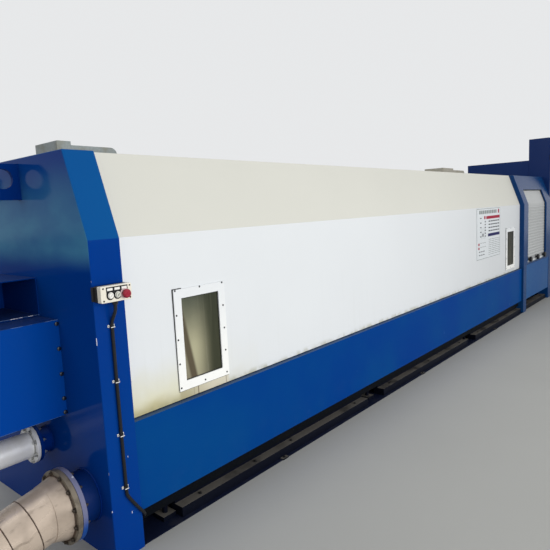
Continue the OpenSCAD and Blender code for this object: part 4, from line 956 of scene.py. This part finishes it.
(first_x, front_y, low_z), (last_x, back_y, high_z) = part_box("window_frames")
window_w, inner = 0.353, 0.046
gap_shadows, gaskets_and_shade, spots = [], [], []
for left, shadow_reach in ((first_x, 0.0045), (last_x - window_w, 0.0015)):
    right = left + window_w
    rows = [low_z + 0.018 + i * 0.126 for i in range(5)]
    spots += [((x, front_y, z), FRONT) for x in (left + 0.010, right - 0.019) for z in rows]
    spots += [((left + 0.173, front_y, z), FRONT) for z in (rows[0], rows[-1])]
    # A dark strip inside the opening: part gasket, part painted shadow along its edge.
    gaskets_and_shade.append(picture_frame((left + inner, back_y - 0.003, low_z + inner),
                                 (right - inner, back_y - 0.0004, high_z - inner), 0.006))
    # Dark strips at the frame's left edge, top left corner and foot: painted shadow of the gap.
    for low_x, foot, high_x, head in (
            (left - shadow_reach, low_z + 0.004, left + 0.004, high_z + 0.004),
            (left - shadow_reach, high_z - 0.002, left + 0.055, high_z + shadow_reach - 0.0005),
            (left + 0.001, low_z - 0.0035, right, low_z + 0.004)):
        gap_shadows.append(block("seal", (low_x, back_y - 0.004, foot), (high_x, back_y - 0.0003, head)))
    with editing(gap_shadows[-3], edges=lambda a, b: max(a.z, b.z) < high_z and max(a.x, b.x) < left):
        bpy.ops.transform.translate(value=(shadow_reach - 0.001, 0, 0))
many("window_screws", round_bolt(0.0050, 0.0022, 0.0012), spots, "dark_bolt",
     "hood")
fitted("window_gaskets_and_shade", gaskets_and_shade, 0.0006, "rubber", "hood")
fitted("window_gap_shadows", gap_shadows, 0.0006, "rubber", "hood")
print("window screws:", len(spots))

# %% [markdown]
# A printed plate hangs beside the second window. Ours carries no words: bars and rows of
# dashes stand in for its print. An Array modifier repeats one dash along a row, and a second
# one repeats that row downwards.
# %% Hang the notice plate
def repeated(piece, count, move):
    """A piece with its copies, each one move further on."""
    return modify(piece, "ARRAY", count=count, use_relative_offset=False,
                  use_constant_offset=True, constant_offset_displace=move)


def printed(name, marks, finish):
    """Flat marks, in mm: left, low, width, height, then columns, step, rows and step."""
    pieces = []
    for x, z, width, height, *grid in marks:
        columns, step_x, rows, step_z = grid or (1, 0, 1, 0)
        mark = block("mark", at(x, 52.1, z), at(x + width, 52.9, z + height))
        mark = repeated(mark, columns, (step_x / 1000, 0, 0))
        pieces.append(repeated(mark, rows, (0, 0, -step_z / 1000)))
    hand_over(join(name, pieces), finish, "hood")


notice = plate(at(4725, 52.5, 880), at(5520, 56, 1460), 0.006)
fitted("notice_plate", [notice], 0.0006, "plate_white", "hood")
border = picture_frame(at(4729, 52.2, 884), at(5516, 53.0, 1456), 0.005)
hand_over(join("notice_border", [border]), "print_grey", "hood")
printed("notice_header", [(4800, 1396, 46, 40, 10, 60, 1, 0)], "print_grey")
printed("notice_red", [(5030, 1334, 472, 34), (4958, 1336, 46, 34), (5436, 1394, 44, 46),
                       (4772, 1044, 40, 26, 1, 0, 2, 46)], "print_red")
printed("notice_navy", [(5090, 1130, 412, 34)], "print_navy")
printed("notice_ink", [(5110, 1300, 62, 13, 5, 78, 4, 37), (4980, 1300, 34, 13, 1, 0, 6, 33),
                       (4830, 1344, 44, 11, 1, 0, 5, 52), (4905, 1140, 34, 34),
                       (4800, 966, 40, 11, 3, 66, 2, 38)], "print_ink")
printed("notice_table", [(5112, 1092, 90, 5, 4, 102, 9, 22), (4860, 1112, 5, 130, 3, 60, 1, 0),
                         (4840, 1066, 40, 6, 3, 66, 2, 46)], "print_grey")
print("notice plate printed")

# %% [markdown]
# The roller shutter is a row of pressed slats. One slat is modelled, rounded along its edges
# and copied up the opening: nineteen stand upright, and five more lean back with the housing.
# Dark brush seals close the gap at the sides and the top, and also serve as painted shade along
# the opening's edges.
# %% Hang the shutter
shutter_low, shutter_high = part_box("shutter_curtain")
rail_low, rail_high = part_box("shutter_rail")
face_y = rail_high.y - 0.008
lean = math.atan2(145, 394)
fold_z = 1.468 + 0.036 * math.tan(lean / 2)
half = (shutter_high.x - shutter_low.x) / 2
mid_x = (shutter_high.x + shutter_low.x) / 2
UPRIGHT, LEANING = 19, 5
flat_pitch = (fold_z - rail_high.z) / UPRIGHT
slope_pitch = (shutter_high.z - 0.002 - fold_z) / math.cos(lean) / LEANING
slats = []
for count, pitch, foot_z, tilt, round_by in ((UPRIGHT, flat_pitch, rail_high.z, 0, 0.0022),
                                             (LEANING, slope_pitch, fold_z, -lean, 0.0050)):
    slat = block("slat", (-half, -0.0045, 0.0008), (half, 0.003, pitch - 0.0008))
    bevel(slat, round_by, 3,
          edges=lambda a, b: a.y < 0 and b.y < 0 and abs(a.x - b.x) > 0.1)
    for rise in (i * pitch for i in range(count)):
        foot = (mid_x, face_y + rise * math.sin(-tilt), foot_z + rise * math.cos(tilt))
        slats.append(copy_to(slat, foot, (tilt, 0, 0)))
    bpy.data.objects.remove(slat)
curtain = join("shutter_slats", slats)
smooth(30)
hand_over(curtain, "slat_grey", "root", ("shutter_curtain",))
print("slats:", len(slats))

slope = LEANING * slope_pitch


def leaning(low, high):
    """A block that is made upright and then leans back from the fold."""
    upright = block("upright", low, high)
    piece = copy_to(upright, (mid_x, face_y, fold_z), (-lean, 0, 0))
    bpy.data.objects.remove(upright)
    return piece


backing = [block("sheet", (mid_x - half, face_y + 0.002, rail_high.z),
                 (mid_x + half, face_y + 0.006, fold_z)),
           leaning((-half, 0.002, 0), (half, 0.006, slope))]
fitted("shutter_backing", backing, 0.0004, "slat_grey")
# Black brush seals, which also stand as painted shade along the opening's edges.
brushes_and_shade = []
for x in (-half - 0.0002, half - 0.0078):
    brushes_and_shade.append(block("brush", (mid_x + x, face_y - 0.013, rail_low.z),
                         (mid_x + x + 0.008, face_y + 0.002, fold_z)))
    brushes_and_shade.append(leaning((x, -0.013, 0), (x + 0.008, 0.002, slope)))
brushes_and_shade.append(leaning((-half, -0.024, slope - 0.012), (half, 0.002, slope)))
fitted("shutter_brushes", brushes_and_shade, 0.0008, "rubber")

# %% [markdown]
# The soles stand on a flat near-black strip, a painted shadow on the floor under the front of
# the machine. They are bolted to the floor through tabs and to the bed from above. The rail
# carries on under the take-up housing, between its legs. Every bolt stands at the same
# distance from its rail's outer edge, so one list serves both sides.
# %% Bolt the soles down
rails, tabs, bolts = [], [], []
for edge_y, inward in ((30, 1), (1260, -1)):
    low_y, high_y = sorted((edge_y, edge_y + 97 * inward))
    rails.append(block("rail", at(6505, low_y, 0), at(7645, high_y, 60)))
    bolts += [(at(x, edge_y + 30 * inward, 60), UP)
              for x in (560, 1000, 1348, 2130, 2680, 3450, 4220, 4775, 5480, 6190, 6700, 7450)]
    low_y, high_y = sorted((edge_y, edge_y - 28 * inward))
    for x in (1222, 3230, 5245):
        tabs.append(plate(at(x - 28, low_y, 0), at(x + 28, high_y, 9), 0.004, "Z"))
        bolts.append((at(x, edge_y - 14 * inward, 9), UP))
fitted("housing_rails", rails, 0.003, "sole_iron")
# A thin near-black strip on the floor: a painted shadow under the front of the machine.
strip = plate(at(157, 7, 0), at(6350, 235, 5), 0.004, "Z")
fitted("floor_shadow_strip", [strip], 0.001, "shadow_strip_blue")
fitted("floor_tabs", tabs, 0.0012, "sole_iron")
many("sole_bolts", hex_bolt(0.011, 0.006), bolts, "dark_bolt")
print("sole bolts:", len(bolts))

# %% [markdown]
# Quarter-turn latches hold the covers at the back. Each is a low round head with a recess.
# They stand in two columns down each cover, a hand's width in from its edges.
# %% Latch the back covers
case_low, case_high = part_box("gear_case_covers")
housing_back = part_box("take_up_housing")[1].y
cover_w, cover_pitch = 0.8458, 1.0058
covers = [(case_low.x + cover_pitch * i, cover_w, case_low.z, case_high.z, case_high.y)
          for i in range(6)]
covers += [(at(x, 0, 0).x, 0.485, 0.295, 1.732, housing_back) for x in (6510, 7155)]
latches = [((x, y, low_z + 0.09 + (high_z - low_z - 0.18) * i / 3), BACK)
           for left, width, low_z, high_z, y in covers
           for x in (left + 0.055, left + width - 0.055) for i in range(4)]
many("cover_latches", round_bolt(0.017, 0.006, 0.003), latches, "zinc")
print("latches:", len(latches))

# %% [markdown]
# Each door of the exit cabinets has three barrel hinges on its outer edge and a swing handle
# at its inner one. Louvres let the heat out near the top and foot.
# %% Fit out the cabinets
doors = ((7808, 8246), (8254, 8692))
barrels = [round_bar("barrel", at(x, 27, z), 0.0075, 0.07, 20) for x in (7806, 8693)
           for z in (400, 1280, 2150)]
fitted("door_hinges", barrels, 0.0015, "black_plastic")
handles = []
for x in (8201, 8299):
    handles.append(plate(at(x - 14, 26, 1120), at(x + 14, 30, 1300), 0.012))
    handles.append(plate(at(x - 9, 21, 1132), at(x + 9, 26.5, 1262), 0.008))
fitted("door_handles", handles, 0.0012, "black_plastic")
louvres = []
middle_y = at(0, 28, 0).y
for left, right in doors:
    for z in (240, 2180):
        louvre = block("louvre", at(left + 110, 24, z), at(right - 110, 31, z + 7))
        bevel(louvre, 0.005, 3, edges=lambda a, b: max(a.y, b.y) < middle_y
              and min(a.z, b.z) > (z + 3) / 1000)
        louvres.append(repeated(louvre, 9, (0, 0, 0.018)))
piece = join("door_louvres", louvres)
smooth(40)
hand_over(piece, "navy")
print("louvre rows:", len(louvres))

# %% [markdown]
# The roof is made of seven sheets. A flat strip covers every joint and is screwed down along
# both sides. Bolts hold the hinge brackets behind the hood, and each cap of a capstan is
# clamped on by six screws round its rim, which only show with the hood open.
# %% Screw down the roof, the hinges and the capstans
strips, screws = [], []
for i in range(1, 6):
    x = 155 + i * 6195 / 6
    strips.append(plate(at(x - 22, 646, 1862), at(x + 22, 1288, 1864.5), 0.003, "Z"))
    screws += [(at(x + side, 680 + 96 * k, 1864.5), UP) for side in (-13, 13) for k in range(7)]
for low, high in (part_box("lift_cover_left"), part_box("lift_cover_right")):
    screws += [((low.x + 0.02, y, high.z), UP) for y in (low.y + 0.02, high.y - 0.02)]
fitted("roof_strips", strips, 0.0008, "roof_grey")
many("roof_screws", round_bolt(0.0055, 0.003, 0.001), screws, "zinc")
hinge_xs = [602 + i * 5301 / 4 for i in range(5)]
many("hinge_bolts", hex_bolt(0.013, 0.008),
     [(at(x, y, 1870), UP) for x in hinge_xs for y in (560, 612)], "dark_bolt")
rim_r, turns = 205, [(k + 0.5) * math.tau / 6 for k in range(6)]
rim_screws = [(at(first + 860 * i + rim_r * math.cos(a), 371, row_z + rim_r * math.sin(a)), FRONT)
              for row_z, first, count in ((1330, 600, 7), (880, 1030, 6))
              for i in range(count) for a in turns]
many("capstan_screws", round_bolt(0.009, 0.005, 0.003), rim_screws, "dark_bolt")
print("screws:", len(screws) + len(rim_screws))

# %% [markdown]
# Paint goes first at the corners that trolleys and spanners reach, so a few short scrapes
# run along the column's edges.
# %% Chip the column
chips = ((0, 0, 1016, 1048), (0, 0, 424, 436), (0, 0, 246, 254), (154.5, 0, 800, 812),
         (102, -0.3, 466, 475), (100, -0.3, 196, 206), (0, 0, 1290, 1296))
for number, (x, y, low_z, high_z) in enumerate(chips):
    edge_line("column_chip_%d" % (number + 1), at(x, y, low_z), at(x, y, high_z), "bare_scrape",
         0.0017)
print("chips:", len(chips))

# %% [markdown]
# A floor, soft lamps and a pale surround make the studio. The lamps are large, so shadows
# stay soft. The world lights at half strength, but a ray that goes straight to the camera,
# or that a shiny surface mirrors, sees it a good deal paler.
# %% Build the studio
bpy.ops.mesh.primitive_plane_add(size=90, location=(0, 0, 0))
floor = bpy.context.object
floor.name = "studio_floor"
ground = Finish("studio_floor")
ground.set(Base_Color=ground.mix(ground.noise(0.7, 5), (0.38, 0.38, 0.36), (0.43, 0.43, 0.41)))
ground.set(Roughness=0.75, Specular_IOR_Level=0.2)
floor.data.materials.append(ground.material)

for name, place, target, width, height, power, mirrored in (
        ("front_softbox", (-1.9, -7.0, 1.9), (-1.3, 0, 1.1), 12, 3, 500, False),
        ("back_softbox", (0.5, 7.0, 4.0), (0, 0, 0.9), 13, 3, 420, False),
        ("end_softbox", (-9.5, 1.0, 4.0), (-4.1, 0, 0.9), 3, 3, 45, True),
        ("top_softbox", (0, 0, 8.0), (0, 0, 0), 12, 3, 110, True)):
    bpy.ops.object.light_add(type="AREA", location=place)
    lamp = bpy.context.object
    lamp.name = name
    lamp.data.shape = "RECTANGLE"
    lamp.data.size = width
    lamp.data.size_y = height
    lamp.data.energy = power
    lamp.rotation_euler = (Vector(target) - Vector(place)).to_track_quat("-Z", "Y").to_euler()
    lamp.visible_glossy = mirrored

world = bpy.data.worlds.new("studio_world")
bpy.context.scene.world = world
world.use_nodes = True
nodes = world.node_tree.nodes


def world_node(kind, *inputs, **settings):
    """A node of the world with these inputs, each a socket or a plain value."""
    node = nodes.new(kind)
    for name, value in settings.items():
        setattr(node, name, value)
    for socket, value in zip(node.inputs, inputs):
        if isinstance(value, bpy.types.NodeSocket):
            world.node_tree.links.new(value, socket)
        else:
            socket.default_value = value
    return node


lighting = world_node("ShaderNodeBackground", (0.97, 0.985, 1.0, 1), 0.45).outputs[0]
surround = world_node("ShaderNodeBackground", (0.80, 0.81, 0.82, 1), 1.0).outputs[0]
rays = world_node("ShaderNodeLightPath").outputs
mirror = world_node("ShaderNodeMath", rays["Is Glossy Ray"], rays["Is Transmission Ray"],
                    operation="MAXIMUM").outputs[0]
seen = world_node("ShaderNodeMath", rays["Is Camera Ray"], mirror, operation="MAXIMUM").outputs[0]
choose = world_node("ShaderNodeMixShader", seen, lighting, surround).outputs[0]
world.node_tree.links.new(choose, nodes["World Output"].inputs["Surface"])
print("lamps:", len(bpy.data.lights))
